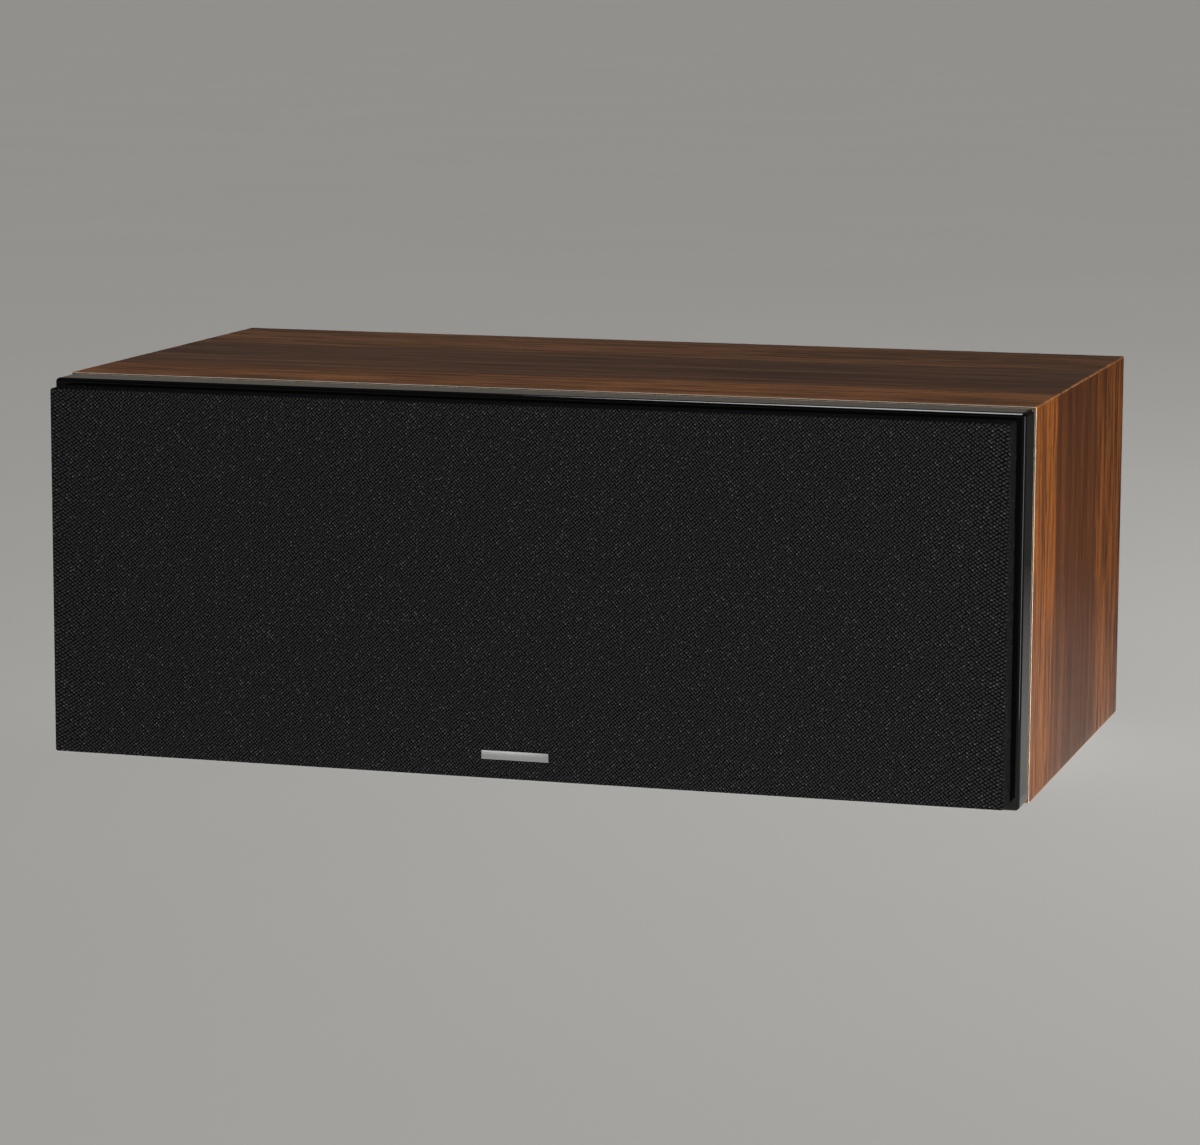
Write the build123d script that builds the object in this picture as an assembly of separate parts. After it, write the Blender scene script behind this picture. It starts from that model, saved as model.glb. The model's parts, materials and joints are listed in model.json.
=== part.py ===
from build123d import *
import os
from math import sqrt

# Centre channel loudspeaker. The front faces -Y, +Z is up, and the four rubber feet stand on Z = 0.
# A walnut-wrapped board folded into a sleeve is closed by a gloss black front baffle and a black
# rear panel. Two woofers flank a dome tweeter behind a cloth grille that pulls off its pegs.
# Sizes are in millimetres.

# Cabinet
cabinet_width = 490.0
cabinet_height = 190.0
sleeve_depth = 249.5
sleeve_board = 15.0
sleeve_edge_radius = 0.6
seam_chamfer = 0.6
baffle_thickness = 22.5
baffle_corner_radius = 2.2
baffle_edge_radius = 2.0
tongue_depth = 8.0
rear_board = 15.0
rear_inset = 1.5
joint_fit = 0.2
brace_thickness = 12.0
brace_rim = 24.0
brace_window_corner = 14.0

# Rubber feet
foot_radius = 9.0
foot_tip_radius = 7.5
foot_height = 3.0
foot_inset = 28.0

# Grille
grille_inset_x = 5.0
grille_inset_z = 4.0
grille_frame_thickness = 14.3
grille_rim = 14.0
grille_bar = 12.0
grille_corner_radius = 1.0
grille_edge_radius = 0.5
window_corner = 4.0
window_chamfer = 5.0
cloth_thickness = 0.6
cloth_slack = 0.1
cloth_fold = 9.0
grille_standoff = 0.3
peg_radius = 3.7
peg_reach = 9.0
peg_root_radius = 3.0
peg_root_length = 8.0
peg_fit = 0.1
socket_wall = 1.8
socket_floor = 1.5

# Shared by the three drivers
edge_margin = 18.0
flange_thickness = 5.0
gasket_thickness = 1.0
recess_fit = 0.3
glue_gap = 0.05

# Screws that hold the drivers and the terminal cup
screw_count = 4
screw_first_angle = 45.0
screw_inset = 4.6
screw_head_radius = 3.5
screw_head_height = 2.4
screw_shank_radius = 1.9
screw_length = 19.0
screw_fit = 0.1
head_sink = 0.2

# Woofer, from the rim inwards and from the front to the back
woofer_radius = 75.0
woofer_flange_width = 12.0
basket_fit = 1.0
basket_wall = 3.4
basket_depth = 46.0
basket_floor = 3.0
basket_windows = 6
basket_spoke_angle = 20.0
basket_window_land = 4.0
lip_inset = 9.6
lip_width = 5.4
lip_thickness = 1.0
roll_width = 12.0
roll_thickness = 1.0
roll_root = 1.2
cone_rim_width = 3.5
cone_thickness = 1.0
cone_depth = 25.0
dust_cap_radius = 18.5
dust_cap_rise = 7.0
dust_cap_thickness = 0.8
spider_setback = 12.0
spider_thickness = 0.6
spider_waves = 4
spider_wave_height = 1.6
coil_radius = 12.65
coil_former_thickness = 0.35
coil_winding_thickness = 0.6
coil_winding_height = 12.0
coil_gap = 0.5
motor_radius = 44.0
top_plate_thickness = 5.0
magnet_overhang = 2.0
magnet_thickness = 15.0
magnet_bore = 24.0
yoke_thickness = 5.0
vent_radius = 3.5

# Tweeter
tweeter_radius = 50.0
tweeter_boss_radius = 37.0
tweeter_boss_height = 3.0
mouth_radius = 32.0
throat_radius = 16.6
throat_depth = 6.4
horn_sag = 0.22
dome_radius = 12.8
dome_rise = 4.6
dome_roll_rise = 1.5
dome_thickness = 0.5
dome_lip = 7.0
tweeter_coil_inset = 0.1
tweeter_winding_height = 4.0
tweeter_former_length = 6.0
tweeter_plate_thickness = 4.0
tweeter_magnet_thickness = 11.0
tweeter_magnet_bore = 19.0

# Reflex ports
port_radius = 22.0
port_wall = 2.5
port_length = 105.0
port_flare = 11.0
port_flange_width = 4.0
port_clearance = 46.0

# Terminal cup and binding posts
fitting_flange = 3.0
cup_width = 80.0
cup_height = 60.0
cup_corner = 8.0
cup_wall = 2.5
cup_depth = 27.0
cup_flange_width = 6.5
cup_screw_length = 12.0
cup_screw_radius = 1.4
cup_head_radius = 2.6
cup_head_height = 1.6
post_spacing = 32.0
post_radius = 4.0
post_collar_radius = 7.0
post_collar = 3.0
post_length = 20.0
post_tail = 9.0
banana_radius = 2.0
banana_depth = 12.0
wire_hole_radius = 1.5
wire_hole_rise = 1.8
nut_radius = 6.5
nut_thickness = 4.0
insert_wall = 1.5
insert_lift = 0.3
insert_length = 12.0
knob_radius = 8.0
knob_length = 15.0
knob_sides = 12
knob_edge = 0.8
thread_fit = 0.1

# Crossover
crossover_width = 84.0
crossover_depth = 96.0
crossover_thickness = 1.6
crossover_clearance = 8.0
standoff_radius = 3.5
standoff_height = 6.0
standoff_inset = 6.0
inductor_radius = 19.0
inductor_bore = 8.0
inductor_height = 16.0
capacitor_radius = 8.5
capacitor_length = 34.0
capacitor_count = 3
resistor_width = 10.0
resistor_length = 36.0
resistor_height = 9.0
crossover_row_gap = 4.0

# Damping pads
pad_gap = 0.3
pad_clearance = 8.0
pad_edge = 8.0

# Places worked out from the sizes
grille_depth = grille_frame_thickness + 2 * (cloth_thickness + cloth_slack) + grille_standoff
rear_overhang = fitting_flange - rear_inset
overall_depth = grille_depth + baffle_thickness + sleeve_depth + rear_overhang
y_grille = -overall_depth / 2
y_baffle = y_grille + grille_depth
y_seam = y_baffle + baffle_thickness
y_tongue = y_seam + tongue_depth
y_back = y_seam + sleeve_depth
y_panel_back = y_back - rear_inset
y_panel_front = y_panel_back - rear_board
z_bottom = foot_height
z_middle = z_bottom + cabinet_height / 2
z_inside = z_bottom + sleeve_board
inner_width = cabinet_width - 2 * sleeve_board
inner_height = cabinet_height - 2 * sleeve_board
frame_width = cabinet_width - 2 * (grille_inset_x + cloth_thickness + cloth_slack)
frame_height = cabinet_height - 2 * (grille_inset_z + cloth_thickness + cloth_slack)
y_frame = y_grille + cloth_thickness + cloth_slack
y_frame_back = y_frame + grille_frame_thickness
y_cloth_back = y_frame_back + cloth_slack + cloth_thickness
recess_depth = flange_thickness + gasket_thickness
woofer_x = cabinet_width / 2 - edge_margin - woofer_radius
bay_x = (woofer_x - woofer_radius + tweeter_radius) / 2
port_x = bay_x + brace_thickness / 2 + port_clearance + port_radius
peg_x = frame_width / 2 - grille_rim / 2
peg_z = frame_height / 2 - grille_rim / 2
peg_spots = [(x, z_middle + side * peg_z) for x in (-peg_x, 0.0, peg_x) for side in (-1, 1)]
socket_radius = peg_radius + peg_fit + socket_wall
woofer_cutout = woofer_radius - woofer_flange_width
tweeter_cutout = tweeter_boss_radius + basket_fit
coil_outer = coil_radius + coil_former_thickness
gap_bore = coil_outer + coil_winding_thickness + coil_gap
pole_radius = coil_radius - coil_gap
cup_screw_x = cup_width / 2 + cup_flange_width / 2
cup_screw_z = cup_height / 2 + cup_flange_width / 2
cup_screw_spots = [(i * cup_screw_x, z_middle + k * cup_screw_z) for i in (-1, 1) for k in (-1, 1)]
y_cup_floor = y_panel_back + fitting_flange - cup_depth
post_spots = {"red": post_spacing / 2, "black": -post_spacing / 2}


# Placing and shaping helpers
def facing(x, y, z):
    """Turns a shape drawn with its axis along Z so that the axis runs from front to back."""
    return Location((x, y, z), (-90, 0, 0))


def plate(width, height, y_near, y_far, x=0.0, z=z_middle, corner=0.0, taper=0.0):
    """A plate parallel to the front, between two depths."""
    outline = RectangleRounded(width, height, corner) if corner else Rectangle(width, height)
    return facing(x, y_near, z) * extrude(outline, y_far - y_near, taper=taper)


def rod(radius, length):
    """A round bar along +Z from the origin."""
    return Cylinder(radius, length, align=(Align.CENTER, Align.CENTER, Align.MIN))


def ring(outer, inner, near, far):
    """A flat ring between two depths along +Z."""
    return Pos(0, 0, near) * (rod(outer, far - near) - rod(inner, far - near))


def turned(*curves):
    """A solid turned about Z from a closed outline of radius and depth."""
    return revolve(Plane.XZ * make_face(Curve() + list(curves)), Axis.Z)


def turned_points(*points):
    return turned(Polyline(*points, close=True))


def screw_angles():
    return [screw_first_angle + i * 360.0 / screw_count for i in range(screw_count)]


def on_circle(radius, shape):
    """Copies of a shape at the screw places of a driver."""
    return [Rot(0, 0, angle) * Pos(radius, 0, 0) * shape for angle in screw_angles()]


def driver_screw_hole():
    """Clearance hole and sunk seat for a screw head, cut into a driver's flange."""
    seat = rod(screw_head_radius + screw_fit, head_sink + screw_head_height)
    return rod(screw_shank_radius + screw_fit, flange_thickness) + seat


# Cabinet pieces
def cabinet_sleeve():
    """Top, sides and floor: one board, wrapped, grooved at the corners and folded."""
    sleeve = plate(cabinet_width, cabinet_height, y_seam, y_back)
    sleeve = fillet(sleeve.edges().filter_by(Axis.Y), sleeve_edge_radius)
    sleeve = chamfer(sleeve.faces().sort_by(Axis.Y)[0].edges(), seam_chamfer)
    return sleeve - plate(inner_width, inner_height, y_seam, y_back)


def driver_opening(flange_radius, cutout, screw_circle):
    """Recess, through hole and screw pilots for one driver, drawn along +Z from the baffle face."""
    through = rod(cutout, baffle_thickness + tongue_depth)
    pilot = rod(screw_shank_radius + glue_gap, head_sink + screw_head_height + screw_length)
    pilots = on_circle(screw_circle, pilot)
    return [rod(flange_radius + recess_fit, recess_depth), through, *pilots]


def front_baffle():
    slab = plate(cabinet_width - 2 * seam_chamfer, cabinet_height - 2 * seam_chamfer, y_baffle, y_seam)
    slab = fillet(slab.edges().filter_by(Axis.Y), baffle_corner_radius)
    slab = fillet(slab.faces().sort_by(Axis.Y)[0].edges(), baffle_edge_radius)
    slab += plate(inner_width - 2 * joint_fit, inner_height - 2 * joint_fit, y_seam, y_tongue)
    cuts = []
    for x in (-woofer_x, woofer_x):
        opening = driver_opening(woofer_radius, woofer_cutout, woofer_radius - screw_inset)
        cuts += [facing(x, y_baffle, z_middle) * cut for cut in opening]
    opening = driver_opening(tweeter_radius, tweeter_cutout, tweeter_radius - screw_inset)
    cuts += [facing(0, y_baffle, z_middle) * cut for cut in opening]
    for x, z in peg_spots:
        cuts.append(facing(x, y_baffle, z) * rod(socket_radius + glue_gap, peg_reach + socket_floor))
    return slab - cuts


def rear_panel():
    panel = plate(inner_width - 2 * joint_fit, inner_height - 2 * joint_fit, y_panel_front, y_panel_back)
    hole = rod(port_radius + port_wall + joint_fit, rear_board)
    cuts = [facing(side * port_x, y_panel_front, z_middle) * hole for side in (-1, 1)]
    cuts.append(plate(cup_width + 2 * joint_fit, cup_height + 2 * joint_fit, y_panel_front, y_panel_back,
                      corner=cup_corner))
    pilot = rod(cup_screw_radius + glue_gap, cup_screw_length - fitting_flange)
    for x, z in cup_screw_spots:
        cuts.append(facing(x, y_panel_back - cup_screw_length + fitting_flange, z) * pilot)
    return panel - cuts


def brace(side):
    """Window brace between the tweeter's bay and a woofer's bay."""
    y_near = y_tongue + joint_fit
    depth = y_panel_front - joint_fit - y_near
    height = inner_height - 2 * joint_fit
    window_depth = (depth - 3 * brace_rim) / 2
    place = Location((side * bay_x - brace_thickness / 2, y_near + depth / 2, z_middle), (0, 90, 0))
    panel = Rectangle(height, depth)
    for end in (-1, 1):
        window = RectangleRounded(height - 2 * brace_rim, window_depth, brace_window_corner)
        panel -= Pos(0, end * (window_depth + brace_rim) / 2) * window
    return place * extrude(panel, brace_thickness)


def rubber_feet():
    foot = turned_points((0, 0), (foot_tip_radius, 0), (foot_radius, foot_height), (0, foot_height))
    spots = [(i * (cabinet_width / 2 - foot_inset), y)
             for i in (-1, 1) for y in (y_seam + foot_inset, y_back - foot_inset)]
    return [Pos(x, y, 0) * foot for x, y in spots]


# Grille pieces
def rounded_front(width, height, y_near, y_far, corner, edge):
    """A plate with rounded corners and a rounded front edge."""
    block = plate(width, height, y_near, y_far, corner=corner)
    return fillet(block.faces().sort_by(Axis.Y)[0].edges(), edge)


def grille_windows():
    """Centre and width of each opening of the grille frame."""
    inner_edge = frame_width / 2 - grille_rim
    side_width = inner_edge - bay_x - grille_bar / 2
    side_x = bay_x + grille_bar / 2 + side_width / 2
    return [(-side_x, side_width), (0.0, 2 * bay_x - grille_bar), (side_x, side_width)]


def grille_frame():
    frame = rounded_front(frame_width, frame_height, y_frame, y_frame_back,
                          grille_corner_radius, grille_edge_radius)
    height = frame_height - 2 * grille_rim
    cuts = []
    for x, width in grille_windows():
        cuts.append(plate(width, height, y_frame, y_frame_back, x, corner=window_corner))
        cuts.append(plate(width + 2 * window_chamfer, height + 2 * window_chamfer, y_frame,
                          y_frame + window_chamfer, x, corner=window_corner + window_chamfer, taper=45))
    hole = rod(peg_root_radius + glue_gap, peg_root_length)
    cuts += [facing(x, y_frame_back - peg_root_length, z) * hole for x, z in peg_spots]
    return frame - cuts


def grille_cloth():
    """Knitted cloth stretched over the frame and folded round to its back."""
    wrap = cloth_slack + cloth_thickness
    skin = rounded_front(frame_width + 2 * wrap, frame_height + 2 * wrap, y_grille, y_cloth_back,
                         grille_corner_radius + wrap, grille_edge_radius + wrap)
    hollow = rounded_front(frame_width + 2 * cloth_slack, frame_height + 2 * cloth_slack,
                           y_frame - cloth_slack, y_frame_back + cloth_slack,
                           grille_corner_radius + cloth_slack, grille_edge_radius + cloth_slack)
    back = plate(frame_width - 2 * cloth_fold, frame_height - 2 * cloth_fold, y_frame_back, y_cloth_back,
                 corner=window_corner)
    hole = rod(peg_radius + peg_fit, y_cloth_back - y_frame_back)
    return skin - [hollow, back, *(facing(x, y_frame_back, z) * hole for x, z in peg_spots)]


def grille_pegs():
    shoulder = y_baffle - y_frame_back
    tip = shoulder + peg_reach - peg_fit
    taper = peg_radius / 2
    peg = turned_points((0, -peg_root_length), (peg_root_radius, -peg_root_length), (peg_root_radius, 0),
                        (peg_radius, 0), (peg_radius, tip - taper), (taper, tip), (0, tip))
    return [facing(x, y_frame_back, z) * peg for x, z in peg_spots]


def peg_sockets():
    bore = peg_radius + peg_fit
    depth = peg_reach + socket_floor
    socket = turned_points((bore, 0), (socket_radius, 0), (socket_radius, depth), (0, depth),
                           (0, peg_reach), (bore, peg_reach))
    return [facing(x, y_baffle, z) * socket for x, z in peg_spots]


# Woofer pieces, drawn along +Z from the front of the baffle
seat_radius = woofer_radius - lip_inset
seat_depth = roll_root + lip_thickness
roll_outer = seat_radius - lip_width
roll_inner = roll_outer - roll_width
cone_edge = roll_inner - cone_rim_width
basket_rear = motor_radius + magnet_overhang
shelf_depth = basket_depth - spider_setback
shelf_radius = basket_rear - basket_wall
cone_neck = seat_depth + cone_depth
neck_radius = coil_outer + glue_gap


def woofer_basket():
    """Cast frame: rim, six spokes and the ring that carries the motor and the spider."""
    wall_front = woofer_cutout - basket_fit
    throat = roll_outer - roll_thickness
    frame = turned_points(
        (seat_radius, 0), (woofer_radius, 0), (woofer_radius, flange_thickness),
        (wall_front, flange_thickness), (basket_rear, basket_depth - 2 * basket_floor),
        (basket_rear, basket_depth), (motor_radius / 2 + basket_wall, basket_depth),
        (motor_radius / 2 + basket_wall, basket_depth - basket_floor),
        (shelf_radius - lip_width, basket_depth - basket_floor), (shelf_radius - lip_width, shelf_depth),
        (shelf_radius, shelf_depth), (throat, flange_thickness), (throat, seat_depth),
        (seat_radius, seat_depth))
    near = flange_thickness + basket_window_land
    far = shelf_depth - basket_window_land
    inner = shelf_radius - basket_wall
    opening = Plane.XZ * make_face(Polyline((inner, near), (woofer_radius, near), (woofer_radius, far),
                                            (inner, far), close=True))
    pitch = 360.0 / basket_windows
    window = revolve(opening, Axis.Z, pitch - basket_spoke_angle)
    cuts = [Rot(0, 0, i * pitch) * window for i in range(basket_windows)]
    return frame - cuts - on_circle(woofer_radius - screw_inset, driver_screw_hole())


def flange_gasket(flange_radius, cutout):
    """Foam ring between a driver's flange and the floor of its recess."""
    hole = rod(screw_shank_radius + screw_fit, recess_depth)
    return ring(flange_radius, cutout, flange_thickness, recess_depth) - on_circle(
        flange_radius - screw_inset, hole)


def woofer_surround():
    """Rubber half roll with a flat lip at each side."""
    middle = (roll_outer + roll_inner) / 2
    outer = roll_width / 2
    inner = outer - roll_thickness
    lip_edge = seat_radius - recess_fit
    return turned(
        Polyline((middle + outer, roll_root), (lip_edge, roll_root), (lip_edge, seat_depth),
                 (middle + inner, seat_depth), (middle + inner, roll_root)),
        ThreePointArc((middle + inner, roll_root), (middle, roll_root - inner), (middle - inner, roll_root)),
        Polyline((middle - inner, roll_root), (middle - inner, seat_depth), (cone_edge, seat_depth),
                 (cone_edge, roll_root), (middle - outer, roll_root)),
        ThreePointArc((middle - outer, roll_root), (middle, roll_root - outer), (middle + outer, roll_root)))


def woofer_cone():
    slope = (cone_edge - neck_radius) / (cone_neck - seat_depth)
    along = cone_thickness * sqrt(1 + slope ** 2) / slope
    return turned_points(
        (roll_inner, seat_depth), (roll_inner, seat_depth + cone_thickness),
        (cone_edge + slope * (along - cone_thickness), seat_depth + cone_thickness),
        (neck_radius, cone_neck + along), (neck_radius, cone_neck), (cone_edge, seat_depth))


def dome_outline(radius, rise, thickness, base):
    """Outline of a thin dome that bulges towards the front."""
    def arc(r, h):
        sphere = (r ** 2 + h ** 2) / (2 * h)
        half = r / 2
        drop = sphere - sqrt(sphere ** 2 - half ** 2)
        return ThreePointArc((r, base), (half, base - h + drop), (0, base - h))
    inner = radius - thickness
    return [arc(radius, rise), Line((0, base - rise), (0, base - rise + thickness)),
            arc(inner, rise - thickness), Line((inner, base), (radius, base))]


def dust_cap_base():
    """Depth at which the dust cap's rim meets the cone."""
    share = (cone_edge - dust_cap_radius) / (cone_edge - neck_radius)
    return seat_depth + share * (cone_neck - seat_depth) - glue_gap


def woofer_dust_cap():
    return turned(*dome_outline(dust_cap_radius, dust_cap_rise, dust_cap_thickness, dust_cap_base()))


def woofer_spider():
    """Corrugated cloth ring that centres the voice coil."""
    inner = coil_outer + glue_gap
    outer = shelf_radius - glue_gap
    first = inner + lip_width / 2
    last = shelf_radius - lip_width
    step = (last - first) / (2 * spider_waves)
    level = shelf_depth - spider_thickness
    front = [(inner, level), (first, level)]
    for wave in range(spider_waves):
        crest = first + (2 * wave + 1) * step
        front += [(crest, level - spider_wave_height), (crest + step, level)]
    front.append((outer, level))
    back = [(r, h + spider_thickness) for r, h in reversed(front)]
    return turned_points(*front, *back)


def woofer_coil():
    """Former with its winding centred in the magnetic gap."""
    middle = basket_depth + top_plate_thickness / 2
    start = middle - coil_winding_height / 2
    end = middle + coil_winding_height / 2
    tail = end + coil_gap
    winding = coil_outer + coil_winding_thickness
    return turned_points((coil_radius, cone_neck), (coil_outer, cone_neck), (coil_outer, start),
                         (winding, start), (winding, end), (coil_outer, end), (coil_outer, tail),
                         (coil_radius, tail))


magnet_front = basket_depth + top_plate_thickness
magnet_back = magnet_front + magnet_thickness
yoke_back = magnet_back + yoke_thickness


def woofer_top_plate():
    return ring(motor_radius, gap_bore, basket_depth, magnet_front)


def woofer_magnet():
    return ring(motor_radius + magnet_overhang, magnet_bore, magnet_front, magnet_back)


def yoke(radius, pole, pole_front, plate_front, plate_back, vent):
    """Back plate and pole piece in one, with a vent through the pole."""
    return turned_points((vent, pole_front), (pole, pole_front), (pole, plate_front), (radius, plate_front),
                         (radius, plate_back), (vent, plate_back))


def woofer_yoke():
    return yoke(motor_radius, pole_radius, basket_depth, magnet_back, yoke_back, vent_radius)


# Tweeter pieces, drawn along +Z from the front of the baffle
dome_level = flange_thickness + tweeter_boss_height
plate_front = dome_level + dome_thickness
tweeter_magnet_front = plate_front + tweeter_plate_thickness
tweeter_magnet_back = tweeter_magnet_front + tweeter_magnet_thickness
tweeter_former = dome_radius - dome_thickness - tweeter_coil_inset


def tweeter_faceplate():
    """Round plate with a shallow horn round the dome."""
    middle = ((mouth_radius + throat_radius) / 2, throat_depth * (0.5 + horn_sag))
    faceplate = turned(
        Polyline((mouth_radius, 0), (tweeter_radius, 0), (tweeter_radius, flange_thickness),
                 (tweeter_boss_radius, flange_thickness), (tweeter_boss_radius, dome_level),
                 (throat_radius, dome_level), (throat_radius, throat_depth)),
        ThreePointArc((throat_radius, throat_depth), middle, (mouth_radius, 0)))
    return faceplate - on_circle(tweeter_radius - screw_inset, driver_screw_hole())


def tweeter_dome():
    """Soft dome, its roll and its flat lip, pressed from one piece of coated cloth."""
    roll = (throat_radius - dome_radius) / 2
    middle = dome_radius + roll
    back = dome_level + dome_thickness
    lip_edge = throat_radius + dome_lip
    front_dome, tip, back_dome, _ = dome_outline(dome_radius, dome_rise, dome_thickness, dome_level)
    return turned(
        front_dome, tip, back_dome,
        Polyline((dome_radius - dome_thickness, dome_level), (dome_radius - dome_thickness, back),
                 (dome_radius + dome_thickness, back)),
        ThreePointArc((dome_radius + dome_thickness, back), (middle, back - dome_roll_rise),
                      (throat_radius - dome_thickness, back)),
        Polyline((throat_radius - dome_thickness, back), (lip_edge, back), (lip_edge, dome_level),
                 (throat_radius, dome_level)),
        ThreePointArc((throat_radius, dome_level), (middle, dome_level - dome_roll_rise),
                      (dome_radius, dome_level)))


def tweeter_coil():
    inner = tweeter_former - coil_former_thickness
    winding = tweeter_former + coil_former_thickness
    start = plate_front + tweeter_coil_inset
    end = start + tweeter_winding_height
    return turned_points((inner, plate_front), (tweeter_former, plate_front), (tweeter_former, start),
                         (winding, start), (winding, end), (tweeter_former, end),
                         (tweeter_former, plate_front + tweeter_former_length),
                         (inner, plate_front + tweeter_former_length))


def tweeter_top_plate():
    bore = tweeter_former + coil_former_thickness + coil_gap
    return ring(tweeter_boss_radius, bore, plate_front, tweeter_magnet_front)


def tweeter_magnet():
    return ring(tweeter_boss_radius - magnet_overhang, tweeter_magnet_bore, tweeter_magnet_front,
                tweeter_magnet_back)


def tweeter_yoke():
    pole = tweeter_former - coil_former_thickness - coil_gap
    return yoke(tweeter_boss_radius - magnet_overhang, pole, plate_front, tweeter_magnet_back,
                tweeter_magnet_back + tweeter_plate_thickness, vent_radius)


def driver_screws():
    """The pan-head screws of all three drivers."""
    head = Pos(0, 0, head_sink) * rod(screw_head_radius, screw_head_height)
    screw = head + Pos(0, 0, head_sink) * rod(screw_shank_radius, screw_head_height + screw_length)
    drivers = [(-woofer_x, woofer_radius), (0.0, tweeter_radius), (woofer_x, woofer_radius)]
    return [facing(x, y_baffle, z_middle) * copy
            for x, radius in drivers for copy in on_circle(radius - screw_inset, screw)]


# Rear fittings
def reflex_port():
    """Moulded tube with a flange, and a flare at its mouth, drawn along +Z to the rear face."""
    outer = port_radius + port_wall
    rim = port_radius + port_flare
    edge = rim + port_flange_width
    mouth = rear_board + fitting_flange
    start = mouth - port_length
    bend = port_flare * (1 - sqrt(0.5))
    return turned(
        Polyline((port_radius, mouth - port_flare), (port_radius, start), (outer, start),
                 (outer, rear_board), (edge, rear_board), (edge, mouth), (rim, mouth)),
        ThreePointArc((rim, mouth), (port_radius + bend, mouth - bend), (port_radius, mouth - port_flare)))


def terminal_cup():
    flange_x = cup_width + 2 * cup_flange_width
    flange_z = cup_height + 2 * cup_flange_width
    y_mouth = y_panel_back + fitting_flange
    cup = plate(cup_width, cup_height, y_cup_floor - cup_wall, y_panel_back, corner=cup_corner)
    cup += plate(flange_x, flange_z, y_panel_back, y_mouth, corner=cup_corner)
    cuts = [plate(cup_width - 2 * cup_wall, cup_height - 2 * cup_wall, y_cup_floor, y_mouth,
                  corner=cup_corner - cup_wall)]
    for x in post_spots.values():
        cuts.append(facing(x, y_cup_floor - cup_wall, z_middle) * rod(post_radius + thread_fit, cup_wall))
    seat = Pos(0, 0, fitting_flange - cup_head_height) * rod(cup_head_radius + screw_fit, cup_head_height)
    hole = rod(cup_screw_radius + screw_fit, fitting_flange) + seat
    cuts += [facing(x, y_panel_back, z) * hole for x, z in cup_screw_spots]
    return cup - cuts


def terminal_screws():
    tip = fitting_flange - cup_screw_length
    head = Pos(0, 0, fitting_flange - cup_head_height) * rod(cup_head_radius, cup_head_height)
    screw = head + Pos(0, 0, tip) * rod(cup_screw_radius, cup_screw_length - cup_head_height)
    return [facing(x, y_panel_back, z) * screw for x, z in cup_screw_spots]


def binding_post():
    """Brass stud with a collar, a banana socket in its end and a cross hole for bare wire."""
    post = turned_points((0, -cup_wall - post_tail), (post_radius, -cup_wall - post_tail), (post_radius, 0),
                         (post_collar_radius, 0), (post_collar_radius, post_collar),
                         (post_radius, post_collar), (post_radius, post_length),
                         (banana_radius, post_length), (banana_radius, post_length - banana_depth),
                         (0, post_length - banana_depth))
    bar = rod(wire_hole_radius, 2 * post_radius)
    return post - Pos(-post_radius, 0, post_collar + wire_hole_rise) * Rot(0, 90, 0) * bar


insert_start = post_collar + insert_lift
insert_bore = post_radius + thread_fit
insert_outer = insert_bore + insert_wall


def knob_insert():
    """Threaded brass bush inside the knob."""
    return ring(insert_outer, insert_bore, insert_start, insert_start + insert_length)


def binding_knob():
    """Faceted plastic knob, open at the end for a banana plug."""
    grip = Pos(0, 0, insert_start) * extrude(RegularPolygon(knob_radius, knob_sides), knob_length)
    grip = chamfer(grip.faces().sort_by(Axis.Z)[-1].edges(), knob_edge)
    pocket = rod(insert_outer + glue_gap, insert_length + glue_gap)
    mouth = rod(insert_bore + thread_fit, knob_length)
    return grip - Pos(0, 0, insert_start) * (pocket + mouth)


def terminal_nuts():
    nut = extrude(RegularPolygon(nut_radius, 6), nut_thickness) - rod(post_radius + glue_gap, nut_thickness)
    return [facing(x, y_cup_floor - cup_wall - nut_thickness, z_middle) * nut for x in post_spots.values()]


# Crossover, on the floor of the bay behind the right woofer
board_x = bay_x + brace_thickness / 2 + crossover_clearance + crossover_width / 2
board_y = y_baffle + yoke_back + crossover_clearance + crossover_depth / 2
board_top = z_inside + standoff_height + crossover_thickness
capacitor_pitch = 2 * capacitor_radius + crossover_row_gap


def crossover_board():
    board = Pos(board_x, board_y, board_top - crossover_thickness / 2) * Box(
        crossover_width, crossover_depth, crossover_thickness)
    return board


def crossover_standoffs():
    post = rod(standoff_radius, standoff_height)
    return [Pos(board_x + i * (crossover_width / 2 - standoff_inset),
                board_y + k * (crossover_depth / 2 - standoff_inset), z_inside) * post
            for i in (-1, 1) for k in (-1, 1)]


def crossover_inductors():
    """Air-cored coils standing in a row along the front of the board."""
    y = board_y - crossover_depth / 2 + crossover_row_gap + inductor_radius
    coil = ring(inductor_radius, inductor_bore, 0, inductor_height)
    offset = inductor_radius + crossover_row_gap / 2
    return [Pos(board_x + side * offset, y, board_top) * coil for side in (-1, 1)]


def crossover_row():
    """Depth at the middle of the space behind the coils, and the place of the row's first edge."""
    coils_end = board_y - crossover_depth / 2 + crossover_row_gap + 2 * inductor_radius
    board_end = board_y + crossover_depth / 2
    row_width = capacitor_count * capacitor_pitch + resistor_width
    return (coils_end + board_end) / 2, board_x - row_width / 2


def crossover_capacitors():
    """Film capacitors lying side by side behind the coils."""
    y, x = crossover_row()
    can = rod(capacitor_radius, capacitor_length)
    return [facing(x + capacitor_radius + i * capacitor_pitch, y - capacitor_length / 2,
                   board_top + capacitor_radius) * can for i in range(capacitor_count)]


def crossover_resistor():
    """Cement-filled power resistor beside the capacitors."""
    y, x = crossover_row()
    body = Box(resistor_width, resistor_length, resistor_height)
    x += capacitor_count * capacitor_pitch + resistor_width / 2
    return Pos(x, y, board_top + resistor_height / 2) * body


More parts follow.
